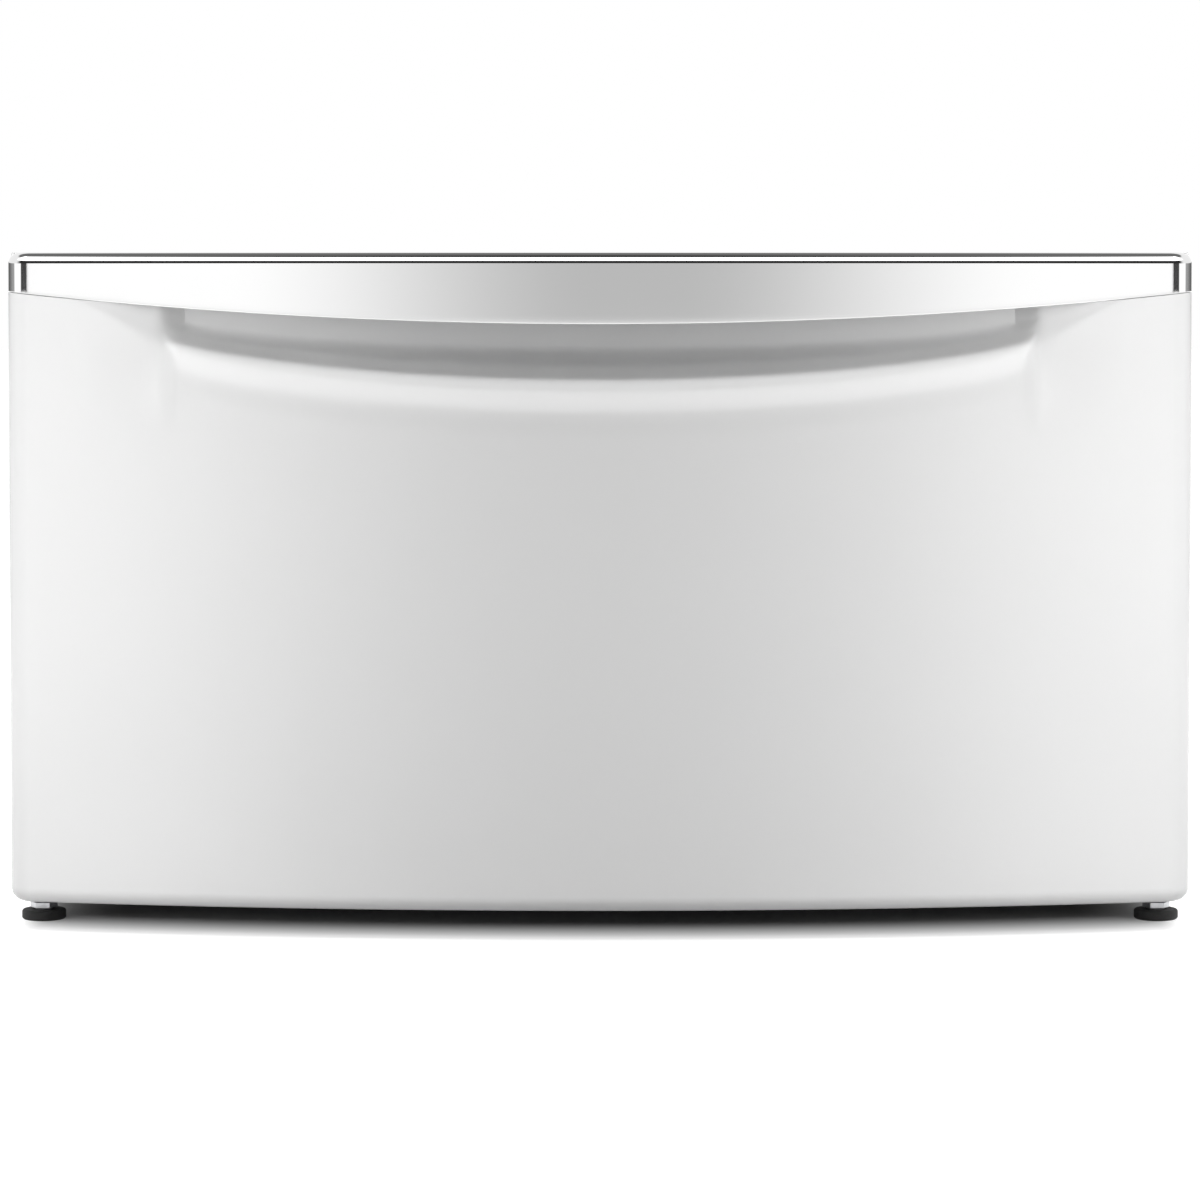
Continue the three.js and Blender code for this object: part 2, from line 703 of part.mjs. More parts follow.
function channel(webDepth, lipDepth, halfHeight, wall, y0, y1) {
  const inward = Math.sign(lipDepth - webDepth);
  const x = (depth) => SLIDE_X - depth;
  const inner = halfHeight - wall;
  const outline = [
    [x(webDepth), -halfHeight],
    [x(lipDepth), -halfHeight],
    [x(lipDepth), -inner],
    [x(webDepth + inward * wall), -inner],
    [x(webDepth + inward * wall), inner],
    [x(lipDepth), inner],
    [x(lipDepth), halfHeight],
    [x(webDepth), halfHeight],
  ];
  return profileAlongY(
    outline.map(([px, pz]) => [px, pz + SLIDE_LEVEL]),
    y0,
    y1,
  );
}

const CABINET_HALF = SLIDE_HEIGHT / 2;
const MIDDLE_HALF = CABINET_HALF - SHEET - BALL_GAP;
const DRAWER_HALF = MIDDLE_HALF - SHEET - BALL_GAP;
const CAGE_ROOM = 0.3; // between a cage and the member it lies in
const OUTER_CAGE_DEPTH = SHEET + CAGE_ROOM;
const MIDDLE_DEPTH = OUTER_CAGE_DEPTH + CAGE_WALL + CAGE_ROOM;
const INNER_CAGE_DEPTH = MIDDLE_DEPTH + SHEET + CAGE_ROOM;
const LIP_ROOM = 2.5; // the cabinet and drawer lips stop this far from the other member's web
const MIDDLE_LIP_ROOM = SHEET + CAGE_ROOM;

function cabinetMember() {
  return channel(0, SLIDE_THICKNESS - LIP_ROOM, CABINET_HALF, SHEET, SLIDE_Y0, SLIDE_Y1);
}

function middleMember() {
  const lip = SLIDE_THICKNESS - MIDDLE_LIP_ROOM;
  return channel(MIDDLE_DEPTH, lip, MIDDLE_HALF, SHEET, SLIDE_Y0, SLIDE_Y1);
}

function drawerMember() {
  const lip = INNER_CAGE_DEPTH + CAGE_WALL + CAGE_ROOM;
  return channel(SLIDE_THICKNESS, lip, DRAWER_HALF, SHEET, SLIDE_Y0, BOX_REAR);
}

// A strip with its two rows of balls. The balls run on outerHalf from inside and on the
// next member from outside.
function ballCage(depth, outerHalf) {
  const ballHalf = outerHalf - SHEET - BALL_GAP / 2;
  const y0 = CAGE_Y - CAGE_LENGTH / 2;
  const y1 = CAGE_Y + CAGE_LENGTH / 2;
  const lip = depth + CAGE_WALL + BALL_DIAMETER;
  const strip = channel(depth, lip, ballHalf + CAGE_WALL / 2, CAGE_WALL, y0, y1);
  const balls = [];
  for (const side of [-1, 1]) {
    for (let i = 0; i < BALLS_PER_ROW; i += 1) {
      const y = y0 + (CAGE_LENGTH * (i + 0.5)) / BALLS_PER_ROW;
      const ball = new THREE.SphereGeometry(BALL_DIAMETER / 2, 6, 4);
      const x = SLIDE_X - depth - CAGE_WALL - BALL_DIAMETER / 2;
      balls.push(ball.rotateX(Math.PI / 2).translate(x, y, SLIDE_LEVEL + side * ballHalf));
    }
  }
  return join(strip, ...balls);
}

// Cabinet

function stadium(x, y, length, width) {
  const points = [];
  for (let i = 0; i <= BEAD_STEPS; i += 1) {
    const angle = (Math.PI * i) / BEAD_STEPS;
    const dx = (width / 2) * Math.cos(angle);
    const dy = (width / 2) * Math.sin(angle) + (length - width) / 2;
    points.push([x + dx, y + dy]);
  }
  return [...points, ...points.map(([px, py]) => [2 * x - px, 2 * y - py])];
}

function topDeck() {
  const rimLow = HEIGHT - RIM;
  const half = HALF - SHEET;
  const lid = cut(
    block(-HALF, HALF, CABINET_FRONT, REAR, rimLow, HEIGHT),
    block(-half, half, CABINET_FRONT + SHEET, REAR - SHEET, rimLow - 1, DECK_UNDER),
  );
  const sheet = [lid];
  const dishes = [];
  const low = DECK_UNDER - SEAT_DEPTH;
  const floor = HEIGHT - SEAT_DEPTH;
  for (const x of [SEAT_SIDE - HALF, HALF - SEAT_SIDE]) {
    for (const y of [CABINET_FRONT + SEAT_FRONT, REAR - SEAT_REAR]) {
      sheet.push(upright(x, y, low, HEIGHT - SHEET / 2, SEAT_RADIUS + SHEET, SEAT_STEPS));
      dishes.push(upright(x, y, floor, HEIGHT + 1, SEAT_RADIUS, SEAT_STEPS));
      dishes.push(upright(x, y, low - 1, HEIGHT, SEAT_HOLE_RADIUS));
    }
  }
  const middleY = (CABINET_FRONT + SEAT_FRONT + REAR - SEAT_REAR) / 2;
  for (let i = 0; i < BEAD_COUNT; i += 1) {
    const x = BEAD_PITCH * (i - (BEAD_COUNT - 1) / 2);
    const under = stadium(x, middleY, BEAD_LENGTH + 2 * SHEET, BEAD_WIDTH + 2 * SHEET);
    sheet.push(plate(under, low, HEIGHT - SHEET / 2));
    dishes.push(plate(stadium(x, middleY, BEAD_LENGTH, BEAD_WIDTH), floor, HEIGHT + 1));
  }
  return cut(join(...sheet), ...dishes);
}

function sidePanel() {
  const inner = CASE_HALF - SHEET;
  const bottom = FLOOR_GAP + SHEET;
  const sheet = join(
    block(inner, CASE_HALF, CASE_FRONT, SIDE_REAR, FLOOR_GAP, CASE_TOP),
    block(SIDE_FLANGE_X, CASE_HALF, CASE_FRONT, SIDE_REAR, CASE_TOP - SHEET, CASE_TOP),
    block(SIDE_FLANGE_X, CASE_HALF, CASE_FRONT, SIDE_REAR, FLOOR_GAP, bottom),
    block(SIDE_FLANGE_X, CASE_HALF, CASE_FRONT, CASE_FRONT + SHEET, FLOOR_GAP, CASE_TOP),
    block(SIDE_FLANGE_X, CASE_HALF, SIDE_REAR - SHEET, SIDE_REAR, FLOOR_GAP, CASE_TOP),
  );
  const holes = Object.values(FOOT_Y).map((y) =>
    upright(FOOT_X, y, FLOOR_GAP - 1, bottom + 1, STEM_RADIUS + 2 * CLEARANCE),
  );
  return cut(sheet, ...holes);
}

function rearPanel() {
  const y0 = CASE_REAR - SHEET;
  const flangeHalf = SIDE_FLANGE_X - CLEARANCE;
  return join(
    block(-CASE_HALF, CASE_HALF, y0, CASE_REAR, FLOOR_GAP, CASE_TOP),
    block(-flangeHalf, flangeHalf, y0 - REAR_FLANGE, CASE_REAR, FLOOR_GAP, FLOOR_GAP + SHEET),
  );
}

function post(y) {
  const y0 = y - POST_DEPTH / 2;
  const y1 = y + POST_DEPTH / 2;
  const bore = rectangle(POST_X0 + SHEET, POST_X1 - SHEET, y0 + SHEET, y1 - SHEET);
  return plate(rectangle(POST_X0, POST_X1, y0, y1), POST_BOTTOM, POST_TOP, [bore]);
}

// A channel between two posts: its web is at y = web and it opens towards y = lip.
function crossRail(web, lip, z0, z1) {
  const inward = Math.sign(lip - web) * SHEET;
  const outline = [
    [web, z0],
    [lip, z0],
    [lip, z0 + SHEET],
    [web + inward, z0 + SHEET],
    [web + inward, z1 - SHEET],
    [lip, z1 - SHEET],
    [lip, z1],
    [web, z1],
  ];
  return profileAlongX(outline, -RAIL_HALF, RAIL_HALF);
}

// Leveling feet, made for the right side

const STEM_FOOT_Z = PAD_FLOOR + CLEARANCE;
const PAD_LIP_Z = PAD_HEIGHT - 1;
const STEM_HEX_Z = PAD_HEIGHT + 2 * CLEARANCE;
const LOCK_NUT_Z = FLOOR_GAP - CLEARANCE - LOCK_NUT_HEIGHT;

function footPad(y) {
  const neck = STEM_RADIUS + CLEARANCE;
  const socket = STEM_FOOT_RADIUS + CLEARANCE;
  return turnedAboutZ(
    [
      [0, 0],
      [PAD_RADIUS - 1, 0],
      [PAD_RADIUS, 1],
      [PAD_RADIUS, PAD_HEIGHT - 1.5],
      [PAD_RADIUS - 1.5, PAD_HEIGHT],
      [neck, PAD_HEIGHT],
      [neck, PAD_LIP_Z],
      [socket, PAD_LIP_Z],
      [socket, PAD_FLOOR],
      [0, PAD_FLOOR],
    ],
    FOOT_X,
    y,
  );
}

function footStem(y) {
  const shaft = turnedAboutZ(
    [
      [0, STEM_FOOT_Z],
      [STEM_FOOT_RADIUS, STEM_FOOT_Z],
      [STEM_FOOT_RADIUS, PAD_LIP_Z - CLEARANCE],
      [STEM_RADIUS, PAD_LIP_Z - CLEARANCE],
      [STEM_RADIUS, STEM_TOP - 1],
      [STEM_RADIUS - 1, STEM_TOP],
      [0, STEM_TOP],
    ],
    FOOT_X,
    y,
  );
  return join(shaft, hexagon(FOOT_X, y, STEM_HEX_Z, STEM_HEX_Z + STEM_HEX_HEIGHT, STEM_HEX));
}

function nut(y, z, height, acrossFlats) {
  const bore = upright(FOOT_X, y, z - 1, z + height + 1, STEM_RADIUS + CLEARANCE);
  return cut(hexagon(FOOT_X, y, z, z + height, acrossFlats), bore);
}

// Assembly

const pedestal = new THREE.Group();
const sides = { left: new THREE.Group(), right: new THREE.Group() };
sides.left.scale.x = -1;
pedestal.add(sides.left, sides.right);

function put(name, geometry, material, group = pedestal) {
  const mesh = new THREE.Mesh(geometry, material);
  mesh.name = name;
  group.add(mesh);
}

put("top_deck", topDeck(), whitePaint);
put("rear_panel", rearPanel(), whitePaint);
const railLow = POST_BOTTOM + RAIL_HEIGHT;
const railHigh = RAIL_TOP - RAIL_HEIGHT;
const frontRail = [POST_FRONT, POST_FRONT + RAIL_DEPTH];
const rearRail = [POST_REAR, POST_REAR - RAIL_DEPTH];
put("front_header_rail", crossRail(...frontRail, railHigh, RAIL_TOP), zinc);
put("rear_header_rail", crossRail(...rearRail, railHigh, RAIL_TOP), zinc);
put("front_base_rail", crossRail(...frontRail, POST_BOTTOM, railLow), zinc);
put("rear_base_rail", crossRail(...rearRail, POST_BOTTOM, railLow), zinc);

put("drawer_fascia", drawerFascia(), whiteGloss);
put("drawer_pull", drawerPull(), chrome);
put("handle_carrier", handleCarrier(), nylon);
put("drawer_inner_front", innerFront(), greyPaint);
put("drawer_bottom", drawerBottom(), greyPaint);
put("drawer_back", drawerBack(), greyPaint);

for (const [side, group] of Object.entries(sides)) {
  put(`${side}_side_panel`, sidePanel(), whitePaint, group);
  put(`drawer_${side}_side`, drawerSide(), greyPaint, group);
  put(`${side}_slide_cabinet_member`, cabinetMember(), zinc, group);
  put(`${side}_slide_middle_member`, middleMember(), zinc, group);
  put(`${side}_slide_drawer_member`, drawerMember(), zinc, group);
  put(`${side}_slide_outer_cage`, ballCage(OUTER_CAGE_DEPTH, CABINET_HALF), zinc, group);
  put(`${side}_slide_inner_cage`, ballCage(INNER_CAGE_DEPTH, MIDDLE_HALF), zinc, group);
  for (const [end, y] of Object.entries(FOOT_Y)) {
    const corner = `${end}_${side}`;
    put(`${corner}_post`, post(y), zinc, group);
    put(`${corner}_foot_pad`, footPad(y), rubber, group);
    put(`${corner}_foot_stem`, footStem(y), zinc, group);
    put(`${corner}_lock_nut`, nut(y, LOCK_NUT_Z, LOCK_NUT_HEIGHT, LOCK_NUT), zinc, group);
    put(`${corner}_weld_nut`, nut(y, POST_BOTTOM, WELD_NUT_HEIGHT, WELD_NUT), zinc, group);
  }
  for (const [row, z] of Object.entries(BOSS_LEVELS)) {
    put(`${row}_${side}_fascia_screw`, fasciaScrew(BOSS_X, z), zinc, group);
  }
  for (const [row, z] of Object.entries(BUMPER_LEVELS)) {
    put(`${row}_${side}_bumper`, bumper(BUMPER_X, z), rubber, group);
  }
}

export default pedestal;
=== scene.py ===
"""Looks of a washer pedestal with a storage drawer, built around its packed solids.

The drawer front, the chrome pull and every fastener are made here from named sizes. Folded
sheets, posts and rails are softened copies of their solids. All lengths are in metres.
"""
import json
import math

import bmesh
import bpy
from bpy.props import FloatProperty, FloatVectorProperty, IntProperty, PointerProperty
from mathutils import Matrix, Vector


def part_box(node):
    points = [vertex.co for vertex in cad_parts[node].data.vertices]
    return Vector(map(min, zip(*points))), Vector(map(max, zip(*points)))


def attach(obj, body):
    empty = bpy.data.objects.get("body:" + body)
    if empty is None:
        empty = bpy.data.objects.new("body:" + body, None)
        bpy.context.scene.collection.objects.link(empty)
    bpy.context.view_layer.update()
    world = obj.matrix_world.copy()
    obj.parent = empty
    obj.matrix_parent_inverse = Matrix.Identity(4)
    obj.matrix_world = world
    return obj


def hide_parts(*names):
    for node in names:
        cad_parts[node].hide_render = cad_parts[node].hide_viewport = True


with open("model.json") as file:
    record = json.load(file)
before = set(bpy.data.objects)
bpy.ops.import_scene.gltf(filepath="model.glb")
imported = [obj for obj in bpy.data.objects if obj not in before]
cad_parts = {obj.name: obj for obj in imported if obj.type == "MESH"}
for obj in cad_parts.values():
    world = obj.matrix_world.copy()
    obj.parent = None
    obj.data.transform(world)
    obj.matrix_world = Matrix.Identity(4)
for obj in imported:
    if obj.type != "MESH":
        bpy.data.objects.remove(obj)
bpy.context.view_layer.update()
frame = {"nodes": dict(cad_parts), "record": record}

bl_info = {
    "name": "Washer pedestal",
    "version": (1, 0, 0),
    "blender": (4, 5, 0),
    "location": "3D View > Sidebar > Pedestal",
    "description": "Builds the pieces and finishes of a washer pedestal with a drawer",
    "category": "Object",
}

MM = 0.001
CLEARANCE = 0.3 * MM  # between two neighbouring pieces
OVERLAP = 1 * MM  # of two shapes that are joined or cut
TINY = 0.001 * MM  # below this two points are one

FASCIA_LOW, FASCIA_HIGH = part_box("drawer_fascia")
PULL_LOW, PULL_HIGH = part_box("drawer_pull")
HALF = PULL_HIGH.x
FRONT = PULL_LOW.y
TOP = PULL_HIGH.z
BOTTOM = FASCIA_LOW.z
BACK = FASCIA_HIGH.y
BODY_OF = {
    node: body
    for body, nodes in frame["record"]["behaviour"]["bodies"].items()
    for node in nodes
}
SIDES = ("left", "right")
CORNERS = ("front_left", "front_right", "rear_left", "rear_right")
SCREWS = [f"{row}_{side}_fascia_screw" for row in ("lower", "upper") for side in SIDES]


# Settings


def length(name, description, default):
    return FloatProperty(
        name=name, description=description, default=default, min=0.0, precision=5, unit="LENGTH"
    )


def power(name, description, default):
    return FloatProperty(name=name, description=description, default=default, unit="POWER")


def tint(name, description, default):
    return FloatVectorProperty(
        name=name, description=description, default=default, min=0.0, max=1.0, size=3, subtype="COLOR"
    )


class FrontSizes(bpy.types.PropertyGroup):
    """Sizes of the moulded drawer front."""

    bow: length("Bow", "How far the middle stands forward of the ends", 40 * MM)
    corner_radius: length("Corner radius", "Upright edges, seen from above", 16 * MM)
    wall: length("Wall", "Thickness of the moulding", 3 * MM)
    lower_fillet: length("Lower fillet", "Radius of the lower edge", 8 * MM)
    foot: length("Foot", "How far the lower edge turns back", 18 * MM)
    scoop_margin: length("Scoop margin", "From the side to the end of the scoop", 39 * MM)
    scoop_top: length("Scoop top", "From the top down to the ends of the lip", 27 * MM)
    scoop_drop: length("Scoop drop", "From the ends of the lip down to its middle", 56 * MM)
    scoop_depth: length("Scoop depth", "From the middle of the bow to the back wall", 46 * MM)
    lip_entry: length("Lip entry", "Height below the lip over which the face leans in", 22 * MM)
    lip_radius: length("Lip radius", "Roundness of the lip", 20 * MM)
    hollow: length("Hollow", "Height over which the scoop's floor turns up", 10 * MM)
    boss_radius: length("Boss radius", "Screw bosses behind the front", 6 * MM)
    lip_lean: FloatProperty(
        name="Lip lean", description="Slope of the face where the lip begins", default=0.42
    )
    scoop_slope: FloatProperty(
        name="Scoop slope", description="Steepest slope inside the scoop", default=2.6
    )
    lip_margin: length("Lip margin", "From the side to the ends of the lip", 100 * MM)
    lip_fade: length("Lip fade", "Over which the lip passes into the dish beyond it", 13 * MM)
    dish_depth: length("Dish depth", "At the ends of the lip", 12.5 * MM)
    dish_entry: length("Dish entry", "How much lower than the lip's its lean begins", 30 * MM)


class PullSizes(bpy.types.PropertyGroup):
    """Sizes of the chrome pull along the top of the front."""

    middle: length("Middle", "Height of the face in the middle", 41 * MM)
    end: length("End", "Height of the face at the ends", 22.7 * MM)
    wall: length("Wall", "Thickness", 2.5 * MM)
    fillet: length("Fillet", "Radius of the top edge", 6.5 * MM)
    flange: length("Flange", "Top face, front to back", 26 * MM)
    lip: length("Lip", "Lower edge, turned back behind the face", 9 * MM)
    lip_margin: length("Lip margin", "From the side to the end of the turned lip", 170 * MM)
    edge_radius: length("Edge radius", "Roundness of the lower edge", 0.5 * MM)


class Fittings(bpy.types.PropertyGroup):
    """Sizes of the fasteners, feet and slides."""

    fold_radius: length("Fold radius", "Outer radius of folded sheet edges", 0.6 * MM)
    screw_head: length("Screw head", "Radius of a pan head", 4.5 * MM)
    screw_slot: length("Screw slot", "Width of the cross recess", 1.2 * MM)
    thread_pitch: length("Thread pitch", "Rise of the stem's thread in a turn", 1.5 * MM)
    thread_depth: length("Thread depth", "From the crest of the thread to its root", 0.8 * MM)
    ball_radius: length("Ball radius", "Balls of the slides", 1.8 * MM)
    balls: IntProperty(name="Balls", description="Balls in each row of a cage", default=6, min=1)


class Finishes(bpy.types.PropertyGroup):
    """Colours and wear of the surfaces."""

    front: tint("Front", "Gloss moulding", (0.87, 0.87, 0.87))
    chrome: tint("Chrome", "Polished plating", (0.79, 0.79, 0.79))
    enamel: tint("Enamel", "White casing", (0.84, 0.84, 0.84))
    powder: tint("Powder coat", "Drawer box", (0.6, 0.61, 0.62))
    zinc: tint("Zinc", "Plated steel", (0.56, 0.57, 0.58))
    nylon: tint("Nylon", "Bar behind the pull", (0.25, 0.26, 0.27))
    rubber: tint("Rubber", "Pads and bumpers", (0.03, 0.03, 0.03))
    wear: FloatProperty(
        name="Wear", description="How much handling shows", default=0.5, subtype="FACTOR"
    )


class StageSettings(bpy.types.PropertyGroup):
    """Floor, lamps and camera."""

    floor: tint("Floor", "Colour of the floor", (0.4, 0.4, 0.4))
    distance: length("Camera distance", "From the middle of the front", 2.5)
    eye: length("Camera height", "Above the floor", 0.3803)
    tilt: FloatProperty(
        name="Camera tilt",
        description="How far the camera looks down",
        default=math.radians(2.342),
        subtype="ANGLE",
    )
    lens: FloatProperty(name="Lens", description="Focal length in millimetres", default=131.95)
    shift: FloatProperty(name="Shift", description="Rise of the lens", default=-0.12)
    side_power: power("Side lamps", "Watts, close to the front's ends", 3.05)
    top_power: power("Top lamp", "Watts, overhead", 98.0)
    front_power: power("Front lamp", "Watts, over the camera", 11.0)
    fill_power: power("Fill lamps", "Watts, beside and behind", 20.0)
    sky: FloatProperty(name="Sky", description="Brightness of the surroundings", default=0.05)


# Shader trees


class Value:
    """A number in a shader tree that takes part in Python arithmetic."""

    def __init__(self, finish, socket):
        self.finish = finish
        self.socket = socket

    def __add__(self, other):
        return self.finish.math("ADD", self, other)

    def __sub__(self, other):
        return self.finish.math("SUBTRACT", self, other)

    def __rsub__(self, other):
        return self.finish.math("SUBTRACT", other, self)

    def __mul__(self, other):
        return self.finish.math("MULTIPLY", self, other)

    def __abs__(self):
        return self.finish.math("ABSOLUTE", self)

    __radd__ = __add__
    __rmul__ = __mul__

    def largest(self, other):
        return self.finish.math("MAXIMUM", self, other)

    def between(self, low, high):
        """Eases from 0 to 1 while the number goes from low to high."""
        inputs = {"Value": self, "From Min": low, "From Max": high}
        node = self.finish.node("ShaderNodeMapRange", inputs, interpolation_type="SMOOTHSTEP")
        return Value(self.finish, node.outputs[0])


class Finish:
    """A shader tree under construction, of a material or of the world."""

    def __init__(self, owner):
        owner.use_nodes = True
        self.tree = owner.node_tree
        self.tree.nodes.clear()

    def node(self, kind, inputs=None, **settings):
        """Adds a node, with its settings first and then the values or links of its sockets."""
        made = self.tree.nodes.new(kind)
        for name, setting in settings.items():
            setattr(made, name, setting)
        for name, value in (inputs or {}).items():
            source = value.socket if isinstance(value, Value) else value
            if isinstance(source, bpy.types.NodeSocket):
                self.tree.links.new(source, made.inputs[name])
            else:
                made.inputs[name].default_value = source
        return made

    def math(self, operation, *operands):
        node = self.node("ShaderNodeMath", dict(enumerate(operands)), operation=operation)
        return Value(self, node.outputs[0])

    def place(self):
        """Object coordinates."""
        return self.node("ShaderNodeTexCoord").outputs["Object"]

    def stretched(self, factors):
        """Object coordinates, each times its factor."""
        inputs = {"Vector": self.place(), "Scale": factors}
        return self.node("ShaderNodeMapping", inputs).outputs[0]

    def parts(self, vector):
        """The three numbers of a vector."""
        sockets = self.node("ShaderNodeSeparateXYZ", {0: vector}).outputs
        return [Value(self, socket) for socket in sockets]

    def rays(self):
        """Two numbers, 1 for a ray of the camera, and 1 for one off gloss or through glass."""
        kinds = self.node("ShaderNodeLightPath").outputs
        camera, gloss, glass = (
            Value(self, kinds[f"Is {kind} Ray"]) for kind in ("Camera", "Glossy", "Transmission")
        )
        return camera, gloss.largest(glass)

    def noise(self, scale, detail=2.0, vector=None):
        inputs = {"Vector": vector or self.place(), "Scale": scale, "Detail": detail}
        return Value(self, self.node("ShaderNodeTexNoise", inputs).outputs[0])

    def cells(self, scale):
        """A random number for each of many small crystals."""
        inputs = {"Vector": self.place(), "Scale": scale}
        return Value(self, self.node("ShaderNodeTexVoronoi", inputs).outputs["Color"])

    def blend(self, factor, first, second):
        """A colour between two colours."""
        inputs = {0: factor, 6: first, 7: second}
        return self.node("ShaderNodeMix", inputs, data_type="RGBA").outputs[2]

    def shades(self, factor, colour, first, second):
        """A colour times a number between these two."""
        return self.blend(factor, rgba(colour, first), rgba(colour, second))

    def surface(self, colour, roughness, relief, depth, **even):
        """Ends the tree in one shader. The relief is in parts of the depth, and the rest even."""
        bump = {"Height": relief, "Distance": depth, "Strength": 1.0}
        normal = self.node("ShaderNodeBump", bump).outputs[0]
        inputs = {"Base Color": colour, "Roughness": roughness, "Normal": normal, **even}
        shader = self.node("ShaderNodeBsdfPrincipled", inputs)
        self.node("ShaderNodeOutputMaterial", {"Surface": shader.outputs[0]})


def rgba(colour, factor=1.0):
    return (*(min(1.0, channel * factor) for channel in colour), 1.0)


def gloss_moulding(finish, look):
    """Gloss white moulding: faint flow ripple and dull handling marks."""
    mottle = finish.noise(9.0, 3.0)
    smear = finish.noise(26.0, 4.0, finish.stretched((1.0, 1.0, 0.35)))
    marks = smear.between(0.56, 0.78) * look.wear
    ripple = finish.noise(420.0, 1.0) + finish.noise(60.0, 1.0)
    colour = finish.shades(mottle, look.front, 0.985, 1.01)
    finish.surface(colour, 0.13 + 0.05 * mottle + 0.08 * marks, ripple, 0.004 * MM, IOR=1.5)


def polished_chrome(finish, look):
    """Mirror plating with hairline polish and a few finger smears."""
    haze = finish.noise(14.0, 4.0)
    hairlines = finish.noise(240.0, 2.0, finish.stretched((0.05, 1.0, 1.0)))
    smear = haze.between(0.55, 0.8) * look.wear
    colour = finish.shades(haze, look.chrome, 0.99, 1.015)
    roughness = 0.035 + 0.012 * hairlines + 0.05 * smear
    finish.surface(colour, roughness, hairlines, 0.0002 * MM, Metallic=1.0)


def baked_enamel(finish, look):
    """White baked enamel with orange peel."""
    peel = finish.noise(650.0, 2.0)
    wave = finish.noise(35.0, 2.0)
    tone = finish.noise(6.0, 3.0)
    scuffs = finish.noise(70.0, 5.0, finish.stretched((0.25, 0.25, 1.0))).between(0.62, 0.8)
    colour = finish.shades(tone, look.enamel, 0.98, 1.01)
    roughness = 0.3 + 0.08 * wave + 0.15 * scuffs * look.wear
    finish.surface(colour, roughness, peel + wave, 0.012 * MM)


def powder_coat(finish, look):
    """Light grey powder coat with a fine grain, rubbed a little along the runs."""
    grain = finish.noise(1400.0, 3.0)
    tone = finish.noise(8.0, 4.0)
    rubbed = finish.noise(45.0, 5.0, finish.stretched((1.0, 0.12, 1.0))).between(0.58, 0.8)
    base = finish.shades(tone, look.powder, 0.96, 1.03)
    colour = finish.blend(0.25 * rubbed * look.wear, base, rgba(look.powder, 1.25))
    roughness = 0.46 + 0.08 * grain - 0.12 * rubbed * look.wear
    finish.surface(colour, roughness, grain, 0.02 * MM)


def plated_steel(finish, look):
    """Zinc plate: crystals of slightly different brightness under rolling marks."""
    crystal = finish.cells(260.0)
    cloud = finish.noise(20.0, 4.0)
    rolling = finish.noise(500.0, 2.0, finish.stretched((1.0, 0.04, 1.0)))
    tarnish = cloud.between(0.52, 0.8) * look.wear
    plate = finish.shades(crystal, look.zinc, 0.88, 1.12)
    colour = finish.blend(0.5 * tarnish, plate, rgba(look.zinc, 0.72))
    roughness = 0.3 + 0.1 * rolling + 0.12 * tarnish
    finish.surface(colour, roughness, rolling, 0.004 * MM, Metallic=1.0)


def moulded_nylon(finish, look):
    """Unpainted dark nylon with a spark-eroded texture."""
    grain = finish.noise(900.0, 3.0)
    colour = finish.shades(finish.noise(15.0, 3.0), look.nylon, 0.92, 1.08)
    finish.surface(colour, 0.5 + 0.12 * grain, grain, 0.02 * MM)


def moulded_rubber(finish, look):
    """Black rubber with pale dust in its pores."""
    pores = finish.noise(700.0, 4.0)
    dust = finish.noise(60.0, 4.0).between(0.5, 0.8) * look.wear
    colour = finish.shades(0.2 * dust, look.rubber, 1.0, 5.0)
    finish.surface(colour, 0.7 + 0.15 * pores, pores, 0.03 * MM)


RECIPES = {
    "white_gloss": gloss_moulding,
    "chrome": polished_chrome,
    "white_paint": baked_enamel,
    "grey_paint": powder_coat,
    "zinc": plated_steel,
    "nylon": moulded_nylon,
    "rubber": moulded_rubber,
}


def material(slot):
    """The finish of a material slot of the record, made once."""
    name = "finish_" + slot
    if name not in bpy.data.materials:
        made = bpy.data.materials.new(name)
        RECIPES[slot](Finish(made), bpy.context.scene.pedestal_finishes)
    return bpy.data.materials[name]


# Meshes


def added(name, data):
    """A new object in the scene."""
    made = bpy.data.objects.new(name, data)
    bpy.context.scene.collection.objects.link(made)
    return made


def closed(name, vertices, faces):
    """A linked object with a closed mesh whose faces point outwards."""
    mesh = bpy.data.meshes.new(name)
    mesh.from_pydata(vertices, [], faces)
    shape = bmesh.new()
    shape.from_mesh(mesh)
    bmesh.ops.remove_doubles(shape, verts=shape.verts, dist=TINY)
    bmesh.ops.recalc_face_normals(shape, faces=shape.faces)
    shape.to_mesh(mesh)
    shape.free()
    return added(name, mesh)


def plain(source, name):
    """A new object with the source's mesh as its modifiers leave it. The source is removed."""
    graph = bpy.context.evaluated_depsgraph_get()
    mesh = bpy.data.meshes.new_from_object(
        source.evaluated_get(graph), preserve_all_data_layers=True, depsgraph=graph
    )
    made = added(name, mesh)
    remove(source)
    made.name = name
    mesh.name = name
    return made


def remove(source):
    """Deletes an object and its mesh."""
    mesh = source.data
    bpy.data.objects.remove(source)
    bpy.data.meshes.remove(mesh)


def combined(name, shapes, cuts=()):
    """One closed mesh: the shapes joined and the cuts taken out."""
    base = closed(name, *shapes[0])
    tools = []
    for operation, group in (("UNION", shapes[1:]), ("DIFFERENCE", cuts)):
        for shape in group:
            tool = closed(name + "_tool", *shape)
            modifier = base.modifiers.new(operation, "BOOLEAN")
            modifier.operation = operation
            modifier.solver = "MANIFOLD"
            modifier.object = tool
            tools.append(tool)
    made = plain(base, name)
    for tool in tools:
        remove(tool)
    return made


